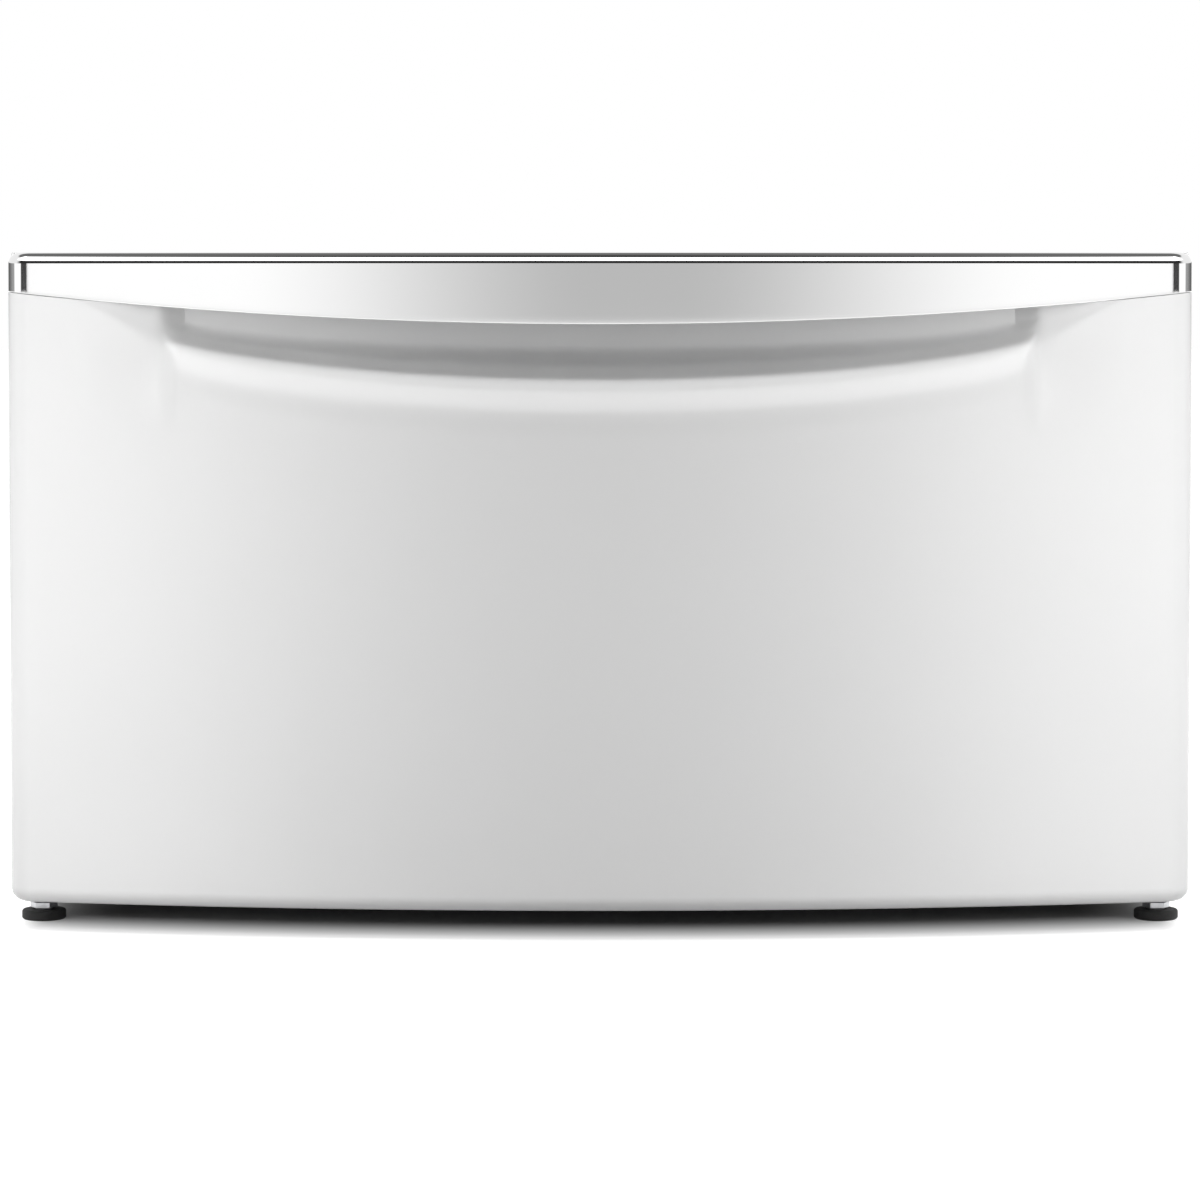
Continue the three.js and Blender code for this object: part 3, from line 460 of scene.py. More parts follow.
def finished(piece, slot, nodes, bevel=0.0, angle=30.0):
    """Shades, finishes and places a piece that stands for these nodes."""
    mesh = piece.data
    mesh.polygons.foreach_set("use_smooth", [True] * len(mesh.polygons))
    mesh.set_sharp_from_angle(angle=math.radians(angle))
    if bevel:
        modifier = piece.modifiers.new("Edges", "BEVEL")
        modifier.width = bevel
        modifier.segments = 2
        modifier.limit_method = "ANGLE"
        modifier.angle_limit = math.radians(angle)
        modifier.use_clamp_overlap = True
        modifier.miter_outer = "MITER_ARC"
    weighted = piece.modifiers.new("Normals", "WEIGHTED_NORMAL")
    weighted.keep_sharp = True
    mesh.materials.clear()
    mesh.materials.append(material(slot))
    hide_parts(*nodes)
    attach(piece, BODY_OF[nodes[0]])
    return piece


def softened(node, name, slot, bevel, angle=30.0):
    """A merged copy of a node with rounded edges, in the node's place."""
    mesh = frame["nodes"][node].data.copy()
    mesh.name = name
    shape = bmesh.new()
    shape.from_mesh(mesh)
    bmesh.ops.remove_doubles(shape, verts=shape.verts, dist=TINY)
    bmesh.ops.dissolve_limit(
        shape, angle_limit=math.radians(0.5), verts=shape.verts, edges=shape.edges
    )
    shape.to_mesh(mesh)
    shape.free()
    return finished(added(name, mesh), slot, [node], bevel, angle)


def loft(rings, capped=True):
    """Vertices and faces of a skin over rings that have the same number of points."""
    count = len(rings[0])
    vertices = [point for ring in rings for point in ring]
    faces = [
        (i * count + j, i * count + k, (i + 1) * count + k, (i + 1) * count + j)
        for i in range(len(rings) - 1)
        for j, k in ((j, (j + 1) % count) for j in range(count))
    ]
    if capped:
        faces.append(tuple(range(count)))
        faces.append(tuple(range(len(vertices) - count, len(vertices))))
    return vertices, faces


def sweep(stations, section_at):
    """A section of (inset, z) points carried along the stations."""
    return loft(
        [
            [(x - nx * inset, y - ny * inset, z) for inset, z in section_at(x)]
            for x, y, nx, ny in stations
        ]
    )


def prism(outline, low, high):
    """An outline of (x, y) points between two heights."""
    return loft([[(x, y, z) for x, y in outline] for z in (low, high)])


def lathe(outline, steps=48, capped=False):
    """An outline of (radius, z) points turned round Z, from pole to pole or with flat ends."""
    turned = [2 * math.pi * i / steps for i in range(steps)]
    return loft([[(r * math.cos(a), r * math.sin(a), z) for a in turned] for r, z in outline], capped)


def placed(shape, matrix):
    """A shape moved and turned."""
    vertices, faces = shape
    return [tuple(matrix @ Vector(point)) for point in vertices], faces


def along_y(shape):
    """A shape made round Z, laid down so that its +Z points along +Y."""
    return placed(shape, Matrix.Rotation(math.radians(-90), 4, "X"))


def hexagon(across_flats, low, high, chamfer):
    """A six-sided bar round Z with its corners turned off at both ends."""
    corner = across_flats / 2 / math.cos(math.pi / 6)
    end = across_flats / 2 * 0.98
    outline = [(end, low), (corner, low + chamfer), (corner, high - chamfer), (end, high)]
    return lathe(outline, 6, capped=True)


def rod(radius, low, high, steps):
    """A round bar round Z between two heights."""
    return lathe([(0, low), (radius, low), (radius, high), (0, high)], steps)


def quarter(radius, inset, height, sign, steps=8):
    """A quarter round of (inset, z) points, from the level face to the upright one."""
    angles = [math.pi / 2 * i / steps for i in range(steps + 1)]
    return [(inset - radius * math.sin(a), height + sign * radius * math.cos(a)) for a in angles]


def spread(low, high, steps):
    """Numbers at equal distances, both ends included."""
    return [low + (high - low) * i / steps for i in range(steps + 1)]


def rounded(radius, top, rise, width):
    """A round shoulder of (radius, z) points, this high and this wide, up to the top."""
    turned = spread(0, math.pi / 2, 8)
    return [(radius - width * (1 - math.cos(a)), top - rise * (1 - math.sin(a))) for a in turned]


# The drawer front


BOW_STEPS = 110  # each half of the bow
CORNER_STEPS = 20
RETURN_STEPS = 4
FACE_STEPS = 6  # below the scoop
SCOOP_STEPS = 60


def ease(part):
    """Passes smoothly from 0 to 1 while the part does so."""
    within = min(1.0, max(0.0, part))
    return within**2 * (3 - 2 * within)


class FrontShape:
    """The drawer front's outline from above and its section at each station."""

    def __init__(self, front, pull):
        self.front = front
        self.pull = pull
        self.bow_radius = (HALF**2 + front.bow**2) / (2 * front.bow)
        self.fillet_centre = TOP - pull.fillet
        self.seat = pull.wall + CLEARANCE
        self.roof = TOP - self.seat
        self.scoop_half = HALF - front.scoop_margin
        self.lip_half = HALF - front.lip_margin
        self.lip_start = math.atan(front.lip_lean)
        lip_end = math.atan(front.scoop_slope)
        self.lip_rise = front.lip_radius * (math.sin(lip_end) - math.sin(self.lip_start))
        self.curved_depth = (
            (front.lip_lean * front.lip_entry + front.scoop_slope * front.hollow) / 2
            + front.lip_radius * (math.cos(self.lip_start) - math.cos(lip_end))
        )

    def line(self, x):
        """Where the bow lies at this place."""
        return FRONT + self.bow_radius - math.sqrt(self.bow_radius**2 - x**2)

    def stations(self):
        """(x, y, normal x, normal y) from the left rear edge to the right rear edge."""
        radius = self.front.corner_radius
        inner = self.bow_radius - radius
        corner_x = HALF - radius
        turn = math.asin(corner_x / inner)
        corner_y = FRONT + self.bow_radius - inner * math.cos(turn)
        right = []
        for i in range(BOW_STEPS):
            angle = turn * i / BOW_STEPS
            nx, ny = math.sin(angle), -math.cos(angle)
            right.append((self.bow_radius * nx, self.line(self.bow_radius * nx), nx, ny))
        for i in range(CORNER_STEPS + 1):
            angle = turn + (math.pi / 2 - turn) * i / CORNER_STEPS
            nx, ny = math.sin(angle), -math.cos(angle)
            right.append((corner_x + radius * nx, corner_y + radius * ny, nx, ny))
        right += [(HALF, y, 1.0, 0.0) for y in spread(corner_y, BACK, RETURN_STEPS)[1:]]
        left = [(-x, y, -nx, ny) for x, y, nx, ny in reversed(right[1:])]
        return left + right

    def inset(self, distance):
        """The outline from above, this far inside."""
        return [(x - nx * distance, y - ny * distance) for x, y, nx, ny in self.stations()]

    def behind(self, distance, x0, x1):
        """The bow from one place to another, this far back."""
        return [(x, self.line(x) + distance) for x in spread(x0, x1, 2 * BOW_STEPS)]

    def pull_edge(self, x):
        """Height of the lower edge of the pull."""
        pull = self.pull
        return TOP - pull.middle + (pull.middle - pull.end) * (x / HALF) ** 2

    def scoop_start(self, x):
        """Height at which the face starts to lean in."""
        front = self.front
        across = min(1.0, abs(x) / self.scoop_half)
        drop = front.scoop_drop * math.sqrt(1 - across**2)
        return TOP - front.scoop_top - drop - front.lip_entry

    def scoop_reach(self, x):
        """Full depth of the scoop behind the lip: its back wall is flat."""
        return self.front.scoop_depth - (self.line(x) - FRONT)

    def lip(self, x, z):
        """How far the face is set back behind the lip."""
        front = self.front
        full = self.scoop_reach(x)
        rise = max(0.0, z - self.scoop_start(x))
        entry = min(rise, front.lip_entry)
        lip = min(rise - entry, self.lip_rise)
        longest = max(0.0, (full - self.curved_depth) / front.scoop_slope)
        straight = min(rise - entry - lip, longest)
        hollow = min(rise - entry - lip - straight, front.hollow)
        sine = math.sin(self.lip_start) + lip / front.lip_radius
        depth = (
            front.lip_lean * entry**2 / (2 * front.lip_entry)
            + front.lip_radius * (math.cos(self.lip_start) - math.sqrt(1 - sine**2))
            + front.scoop_slope * (straight + hollow - hollow**2 / (2 * front.hollow))
        )
        return depth * min(1.0, full / self.curved_depth)

    def dish(self, x, z):
        """How far the face is set back in the dishes beyond the lip."""
        front = self.front
        inward = max(0.0, self.scoop_half - abs(x)) / (self.scoop_half - self.lip_half)
        rise = z - self.scoop_start(x) + front.dish_entry
        height = front.dish_entry + front.lip_entry
        return front.dish_depth * inward**1.2 * ease(rise / height)

    def scoop(self, x, z):
        """How far the front's face is set back at this place."""
        soft = ease((abs(x) - self.lip_half) / self.front.lip_fade)
        return (1 - soft) * self.lip(x, z) + soft * self.dish(x, z)

    def seat_inset(self, z):
        """The inner face of the pull, with clearance: the front's face behind it."""
        radius = self.pull.fillet - self.seat
        up = max(0.0, z - self.fillet_centre)
        return self.pull.fillet - math.sqrt(max(0.0, radius**2 - up**2))

    def front_section(self, x):
        """The face from its lower edge up to behind the pull, and its inner side back down."""
        front = self.front
        wall = front.wall
        ledge = self.pull_edge(x) - CLEARANCE
        low = self.scoop_start(x) - front.dish_entry - 1 * MM
        top = self.roof - wall / 2
        hair = 0.05 * MM
        centre = BOTTOM + front.lower_fillet

        def behind_pull(z):
            return max(self.scoop(x, z) + hair, self.seat_inset(z))

        def inside(z):
            slope = (self.scoop(x, z + hair) - self.scoop(x, z)) / hair
            size = math.hypot(1, slope)
            return self.scoop(x, z) + wall / size, z - wall * slope / size

        face = spread(centre, low, FACE_STEPS)[1:-1]
        return [
            *quarter(front.lower_fillet, front.lower_fillet, centre, -1),
            (0.0, centre + 1 * MM),
            *((0.0, z) for z in face),
            *((self.scoop(x, z), z) for z in spread(low, ledge, SCOOP_STEPS)),
            *((behind_pull(z), z) for z in spread(ledge + hair, top, 4)),
            *((behind_pull(z) + wall, z) for z in spread(top, ledge - wall, 4)),
            *(inside(z) for z in spread(ledge - wall - hair, low, SCOOP_STEPS)),
            *((wall, z) for z in reversed(face)),
            *reversed(quarter(front.lower_fillet - wall, front.lower_fillet, centre, -1)),
        ]

    def nose_section(self, _):
        """The round top edge of the front, inside the pull's: the same at every station."""
        fillet = self.pull.fillet
        inner = fillet + OVERLAP
        return [
            *reversed(quarter(fillet - self.seat, fillet, self.fillet_centre, 1)),
            (inner, self.roof),
            (inner, self.fillet_centre),
        ]

    def foot(self):
        """The lower edge, turned back behind the face."""
        front = self.front
        half = HALF - front.foot
        outline = [
            *self.inset(front.lower_fillet - OVERLAP),
            (half, BACK),
            *self.behind(front.foot, half, -half),
            (-half, BACK),
        ]
        return prism(outline, BOTTOM, BOTTOM + front.wall)

    def roof_plate(self):
        """The top of the front under the pull."""
        return prism(self.inset(self.pull.fillet), self.roof - self.front.wall, self.roof)

    def ledge(self):
        """The rim behind the pull, as high as its top."""
        behind = self.pull.flange + CLEARANCE
        rise = BACK - FRONT - behind - 1 * MM
        half = min(HALF - 22 * MM, math.sqrt(2 * self.bow_radius * rise - rise**2))
        outline = [*self.behind(behind, -half, half), (half, BACK), (-half, BACK)]
        return prism(outline, self.roof - OVERLAP, TOP)

    def pull_section(self, x):
        """The face of the pull with its round edges and the start of its top."""
        pull = self.pull
        edge = self.pull_edge(x)
        radius = pull.edge_radius
        inner = pull.fillet - pull.wall
        return [
            *quarter(radius, radius, edge + radius, -1, 5),
            *((0.0, z) for z in spread(edge + radius, self.fillet_centre, 6)[1:-1]),
            *reversed(quarter(pull.fillet, pull.fillet, self.fillet_centre, 1, 14)),
            (pull.fillet + OVERLAP, TOP),
            (pull.fillet + OVERLAP, TOP - pull.wall),
            *quarter(inner, pull.fillet, self.fillet_centre, 1, 8),
            (pull.wall, edge),
        ]

    def flange(self):
        """The top of the pull."""
        half = HALF - self.pull.flange
        behind = [p for p in self.behind(self.pull.flange, half, -half) if p[1] < BACK]
        outline = [*self.inset(self.pull.fillet), *behind]
        return prism(outline, TOP - self.pull.wall, TOP)

    def lip_stations(self):
        """Where the lower edge of the pull is turned back."""
        limit = HALF - self.pull.lip_margin
        return [s for s in self.stations() if abs(s[0]) < limit and s[3] < 0]

    def lip_section(self, x):
        """The lower edge of the pull, turned back behind its face."""
        inner, outer = self.pull.wall / 2, self.pull.lip
        low = self.pull_edge(x)
        high = low + self.pull.wall
        return [(inner, low), (inner, high), (outer, high), (outer, low)]


def front_shape():
    scene = bpy.context.scene
    return FrontShape(scene.pedestal_front, scene.pedestal_pull)


# Repeated pieces


def new_tree(name, sockets):
    """A Geometry Nodes tree with a geometry input and these named ones, and what they give."""
    tree = bpy.data.node_groups.new(name, "GeometryNodeTree")
    for label, kind in {"Geometry": "Geometry", **sockets}.items():
        tree.interface.new_socket(label, in_out="INPUT", socket_type="NodeSocket" + kind)
    tree.interface.new_socket("Geometry", in_out="OUTPUT", socket_type="NodeSocketGeometry")
    return tree, tree.nodes.new("NodeGroupInput").outputs


def wire(tree, kind, inputs):
    """Adds a node to a Geometry Nodes tree and gives what comes out of it."""
    made = tree.nodes.new(kind)
    for name, value in inputs.items():
        if isinstance(value, bpy.types.NodeSocket):
            tree.links.new(value, made.inputs[name])
        else:
            made.inputs[name].default_value = value
    return made.outputs[0]


def close_tree(tree, finish, *parts):
    """Joins the parts and ends the tree in Realize Instances and Set Material."""
    both = tree.nodes.new("GeometryNodeJoinGeometry")
    for part in parts:
        tree.links.new(part, both.inputs[0])
    real = wire(tree, "GeometryNodeRealizeInstances", {0: both.outputs[0]})
    coated = wire(tree, "GeometryNodeSetMaterial", {"Geometry": real, "Material": finish})
    tree.links.new(coated, tree.nodes.new("NodeGroupOutput").inputs[0])
    return tree


def on_grid(tree, piece, columns, rows, width, height, middle, turn):
    """Copies of a piece on a flat grid that is turned and then moved to its middle."""
    counts = {"Vertices X": columns, "Vertices Y": rows}
    grid = wire(tree, "GeometryNodeMeshGrid", {"Size X": width, "Size Y": height, **counts})
    place = {"Geometry": grid, "Translation": middle, "Rotation": turn}
    points = wire(tree, "GeometryNodeTransform", place)
    return wire(tree, "GeometryNodeInstanceOnPoints", {"Points": points, "Instance": piece})


def grid_tree(name):
    """Repeats the incoming piece on a grid of columns and rows."""
    counts = {"Columns": "Int", "Rows": "Int"}
    sizes = {"Width": "Float", "Height": "Float"}
    place = {"Middle": "Vector", "Turn": "Vector"}
    layout = {**counts, **sizes, **place}
    tree, given = new_tree(name, {**layout, "Finish": "Material"})
    copies = on_grid(tree, given["Geometry"], *(given[label] for label in layout))
    return close_tree(tree, given["Finish"], copies)


def ball_race_tree(name):
    """Adds two rows of balls to the incoming cage strip."""
    balls = {"Balls": "Int", "Ball Radius": "Float"}
    place = {"Run": "Float", "Row Distance": "Float", "Middle": "Vector"}
    tree, given = new_tree(name, {**balls, **place, "Finish": "Material"})
    size = {"Segments": 24, "Rings": 14, "Radius": given["Ball Radius"]}
    ball = wire(tree, "GeometryNodeMeshUVSphere", size)
    smooth = wire(tree, "GeometryNodeSetShadeSmooth", {"Geometry": ball})
    layout = 2, given["Balls"], given["Row Distance"], given["Run"], given["Middle"]
    upright = (0.0, math.pi / 2, 0.0)
    copies = on_grid(tree, smooth, *layout, upright)
    return close_tree(tree, given["Finish"], given["Geometry"], copies)


def thread_tree(name):
    """Winds a thread round the incoming core."""
    helix = {"Turns": "Float", "Root Radius": "Float", "Rise": "Float"}
    sockets = {**helix, "Ridge": "Float", "Start": "Vector", "Finish": "Material"}
    tree, given = new_tree(name, sockets)
    radius = {"Start Radius": given["Root Radius"], "End Radius": given["Root Radius"]}
    climb = {"Resolution": 24, "Rotations": given["Turns"], "Height": given["Rise"]}
    spiral = wire(tree, "GeometryNodeCurveSpiral", {**climb, **radius})
    profile = {"Resolution": 4, "Radius": given["Ridge"]}
    ridge = wire(tree, "GeometryNodeCurvePrimitiveCircle", profile)
    winding = {"Curve": spiral, "Profile Curve": ridge, "Fill Caps": True}
    wound = wire(tree, "GeometryNodeCurveToMesh", winding)
    place = {"Geometry": wound, "Translation": given["Start"]}
    moved = wire(tree, "GeometryNodeTransform", place)
    return close_tree(tree, given["Finish"], given["Geometry"], moved)


def grown(source, name, build, values):
    """The plain mesh that a tree makes of the source with these inputs. A tree is built once."""
    tree = bpy.data.node_groups.get(build.__name__) or build(build.__name__)
    modifier = source.modifiers.new(tree.name, "NODES")
    modifier.node_group = tree
    for item in tree.interface.items_tree:
        if item.in_out == "INPUT" and item.name in values:
            modifier[item.identifier] = values[item.name]
    return plain(source, name)


def set_out(source, name, slot, nodes, upright=False):
    """One piece with a copy of the source in the place of each of four like nodes."""
    middles = [sum(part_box(node), Vector()) / 2 for node in nodes]
    low = Vector(min(m[axis] for m in middles) for axis in range(3))
    high = Vector(max(m[axis] for m in middles) for axis in range(3))
    span = high - low
    values = {
        "Columns": 2,
        "Rows": 2,
        "Width": span.x,
        "Height": span.z if upright else span.y,
        "Turn": (math.pi / 2 if upright else 0.0, 0.0, 0.0),
        "Middle": tuple((low + high) / 2),
        "Finish": material(slot),
    }
    finished(grown(source, name, grid_tree, values), slot, nodes)


# Operators


class PieceOperator:
    """What every operator of the pedestal shares."""

    bl_options = {"REGISTER", "UNDO"}


class PEDESTAL_OT_front(PieceOperator, bpy.types.Operator):
    """Moulded drawer front with its finger scoop and screw bosses"""

    bl_idname = "pedestal.front"
    bl_label = "Drawer front"

    def execute(self, context):
        front = context.scene.pedestal_front
        shape = front_shape()
        stations = shape.stations()
        bodies = [
            sweep(stations, shape.front_section),
            sweep(stations, shape.nose_section),
            shape.foot(),
            shape.roof_plate(),
            shape.ledge(),
        ]
        holes = []
        sheet = 1.5 * MM
        hole_radius = 2.2 * MM
        hole_depth = 12 * MM
        boss_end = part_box("drawer_inner_front")[1].y - sheet - CLEARANCE
        for node in SCREWS:
            place = sum(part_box(node), Vector()) / 2
            there = Matrix.Translation((place.x, 0, place.z))
            boss_root = shape.line(place.x) + front.wall / 2
            boss = rod(front.boss_radius, boss_root, boss_end, 32)
            hole = rod(hole_radius, boss_end - hole_depth, boss_end + OVERLAP, 24)
            bodies.append(placed(along_y(boss), there))
            holes.append(placed(along_y(hole), there))
        piece = combined("front_moulding", bodies, holes)
        finished(piece, "white_gloss", ["drawer_fascia"])
        return {"FINISHED"}


class PEDESTAL_OT_pull(PieceOperator, bpy.types.Operator):
    """Chrome pull that wraps round both corners"""

    bl_idname = "pedestal.pull"
    bl_label = "Chrome pull"

    def execute(self, context):
        shape = front_shape()
        grip_edge = 0.8 * MM
        bodies = [
            sweep(shape.stations(), shape.pull_section),
            shape.flange(),
            sweep(shape.lip_stations(), shape.lip_section),
        ]
        finished(combined("chrome_moulding", bodies), "chrome", ["drawer_pull"])
        softened("handle_carrier", "grip_bar", "nylon", grip_edge)
        return {"FINISHED"}


class PEDESTAL_OT_casing(PieceOperator, bpy.types.Operator):
    """Deck and panels of folded sheet"""

    bl_idname = "pedestal.casing"
    bl_label = "Casing"

    def execute(self, context):
        fold = context.scene.pedestal_fittings.fold_radius
        softened("top_deck", "pressed_deck", "white_paint", fold)
        softened("rear_panel", "back_sheet", "white_paint", fold)
        for side in SIDES:
            softened(f"{side}_side_panel", f"{side}_casing_sheet", "white_paint", fold)
        return {"FINISHED"}


class PEDESTAL_OT_frame(PieceOperator, bpy.types.Operator):
    """Posts and rails behind the casing"""

    bl_idname = "pedestal.frame"
    bl_label = "Frame"

    def execute(self, context):
        fold = context.scene.pedestal_fittings.fold_radius
        for end in ("front", "rear"):
            for level in ("header", "base"):
                softened(f"{end}_{level}_rail", f"{end}_{level}_channel", "zinc", fold)
        for corner in CORNERS:
            softened(f"{corner}_post", f"{corner}_box_post", "zinc", fold)
        return {"FINISHED"}


class PEDESTAL_OT_box(PieceOperator, bpy.types.Operator):
    """Folded drawer box"""

    bl_idname = "pedestal.box"
    bl_label = "Drawer box"

    def execute(self, context):
        fold = context.scene.pedestal_fittings.fold_radius
        softened("drawer_inner_front", "box_front_sheet", "grey_paint", fold)
        softened("drawer_back", "box_back_sheet", "grey_paint", fold)
        softened("drawer_bottom", "box_floor_sheet", "grey_paint", fold)
        for side in SIDES:
            softened(f"drawer_{side}_side", f"box_{side}_sheet", "grey_paint", fold)
        return {"FINISHED"}


class PEDESTAL_OT_slides(PieceOperator, bpy.types.Operator):
    """Ball-bearing slides with their cages"""

    bl_idname = "pedestal.slides"
    bl_label = "Slides"

    def execute(self, context):
        fittings = context.scene.pedestal_fittings
        runner_edge = 0.4 * MM
        for side in SIDES:
            for member in ("cabinet", "middle", "drawer"):
                node = f"{side}_slide_{member}_member"
                softened(node, f"{side}_{member}_runner", "zinc", runner_edge)
            for cage in ("outer", "inner"):
                self.cage(f"{side}_slide_{cage}_cage", f"{side}_{cage}_ball_race", fittings)
        return {"FINISHED"}

    def cage(self, node, name, fittings):
        """The cage's strip, folded from its solid's own box, with round balls."""
        low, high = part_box(node)
        middle = (low + high) / 2
        radius = fittings.ball_radius
        wall = 0.8 * MM
        outward = 1 if high.x > 0 else -1
        web = high.x if outward > 0 else low.x
        lip = web - outward * (high.x - low.x)
        inner = web - outward * wall
        row_half = (high.z - low.z) / 2 - radius
        half = row_half + wall / 2
        fold = [(web, half), (lip, half), (lip, half - wall), (inner, half - wall)]
        section = [*((x, -z) for x, z in fold), *reversed(fold)]
        ends = [[(x, y, z + middle.z) for x, z in section] for y in (low.y, high.y)]
        values = {
            "Balls": fittings.balls,
            "Ball Radius": radius,
            "Run": (high.y - low.y) * (1 - 1 / fittings.balls),
            "Row Distance": 2 * row_half,
            "Middle": (inner - outward * radius, middle.y, middle.z),
            "Finish": material("zinc"),
        }
        strip = closed(name, *loft(ends))
        finished(grown(strip, name, ball_race_tree, values), "zinc", [node])


class PEDESTAL_OT_screws(PieceOperator, bpy.types.Operator):
    """Four pan-head screws that hold the front, and four bumpers"""

    bl_idname = "pedestal.screws"
    bl_label = "Screws and bumpers"

    def execute(self, context):
        fittings = context.scene.pedestal_fittings
        bumpers = [f"{row}_{side}_bumper" for row in ("lower", "upper") for side in SIDES]
        screw = self.screw(SCREWS[0], fittings)
        set_out(screw, "front_screws", "zinc", SCREWS, upright=True)
        set_out(self.bumper(bumpers[0]), "front_bumpers", "rubber", bumpers, upright=True)
        return {"FINISHED"}

    def screw(self, node, fittings):
        """A screw along Y round the middle of its node's box, its head towards +Y."""
        low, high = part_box(node)
        half = (high.y - low.y) / 2
        head = fittings.screw_head
        shank = 1.9 * MM
        pitch = 1.3 * MM
        turns = 10
        root = shank * 0.78
        head_height = 2.4 * MM
        crown_rise = 1.2 * MM
        slot_depth = 1.3 * MM
        seat = half - head_height
        crown = rounded(head, half, crown_rise, head)
        thread = []
        for i in range(turns):
            z = shank - half + i * pitch
            thread += [(shank, z), (root, z + pitch / 2)]
        tip = [(0, -half), (root, -half + shank * 0.6)]
        outline = [*tip, *thread, (shank, seat), (head, seat), *crown]
        slot_half = fittings.screw_slot / 2
        reach = head * 0.6
        cuts = [
            prism([(-u, -v), (u, -v), (u, v), (-u, v)], half - slot_depth, half + OVERLAP)
            for u, v in ((reach, slot_half), (slot_half, reach))
        ]
        return combined("screw", [along_y(lathe(outline, 32))], [along_y(cut) for cut in cuts])

    def bumper(self, node):
        """A round rubber bumper along Y round the middle of its node's box."""
        low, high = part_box(node)
        half = (high.y - low.y) / 2
        radius = (high.x - low.x) / 2
        edge = 1 * MM
        nose = rounded(radius, half, edge, edge)
        outline = [(0, -half), (radius, -half), *nose, (0, half)]
        return closed("bumper", *along_y(lathe(outline)))


class PEDESTAL_OT_feet(PieceOperator, bpy.types.Operator):
    """Leveling feet with threaded stems, lock nuts and weld nuts"""

    bl_idname = "pedestal.feet"
    bl_label = "Feet"

    def execute(self, context):
        fittings = context.scene.pedestal_fittings
        for corner in CORNERS:
            self.pad(f"{corner}_foot_pad", f"{corner}_rubber_pad")
            self.stem(f"{corner}_foot_stem", f"{corner}_threaded_stem", fittings)
        for kind in ("lock", "weld"):
            nodes = [f"{corner}_{kind}_nut" for corner in CORNERS]
            set_out(self.nut(nodes[0]), f"{kind}_nuts", "zinc", nodes)
        return {"FINISHED"}

    def pad(self, node, name):
        """A rubber foot with a rounded shoulder and a socket for the stem."""
        low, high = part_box(node)
        middle = (low + high) / 2
        radius = (high.x - low.x) / 2
        top = high.z
        chamfer = 1 * MM
        shoulder = 1.5 * MM
        mouth = 5.3 * MM
        socket = 7.3 * MM
        socket_roof = top - 1 * MM
        socket_floor = 3 * MM
        outline = [(0, 0), (radius - chamfer, 0), (radius, chamfer)]
        outline += rounded(radius, top, shoulder, shoulder)
        outline += [(mouth, top), (mouth, socket_roof), (socket, socket_roof)]
        outline += [(socket, socket_floor), (0, socket_floor)]
        piece = closed(name, *placed(lathe(outline), Matrix.Translation((middle.x, middle.y, 0))))
        finished(piece, "rubber", [node], 0.2 * MM, 40.0)

    def stem(self, node, name, fittings):
        """A threaded stem with a foot that turns in the pad and a hexagon to turn it by."""
        low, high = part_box(node)
        middle = (low + high) / 2
        crest = 5 * MM
        root = crest - fittings.thread_depth
        foot = 7 * MM
        shoulder = low.z + 1.4 * MM
        neck = shoulder + 7 * MM
        hexagon_low = 6.6 * MM
        outline = [
            (0, low.z),
            (foot, low.z),
            (foot, shoulder),
            (crest, shoulder),
            (crest, neck),
            (root, neck),
            (root, high.z - 1 * MM),
            (root - 1 * MM, high.z),
            (0, high.z),
        ]
        grip = hexagon(14 * MM, hexagon_low, hexagon_low + 4 * MM, 0.5 * MM)
        there = Matrix.Translation((middle.x, middle.y, 0))
        core = combined(name, [placed(lathe(outline, 32), there), placed(grip, there)])
        start = shoulder + 7.5 * MM
        rise = high.z - 2 * MM - start
        values = {
            "Turns": rise / fittings.thread_pitch,
            "Root Radius": root,
            "Rise": rise,
            "Ridge": fittings.thread_depth,
            "Start": (middle.x, middle.y, start),
            "Finish": material("zinc"),
        }
        finished(grown(core, name, thread_tree, values), "zinc", [node])

    def nut(self, node):
        """A hexagon nut round the middle of its node's box."""
        low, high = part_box(node)
        half = (high.z - low.z) / 2
        chamfer = 0.6 * MM
        bore = 5.3 * MM
        body = hexagon(high.x - low.x, -half, half, chamfer)
        return combined("nut", [body], [rod(bore, -half - OVERLAP, half + OVERLAP, 32)])


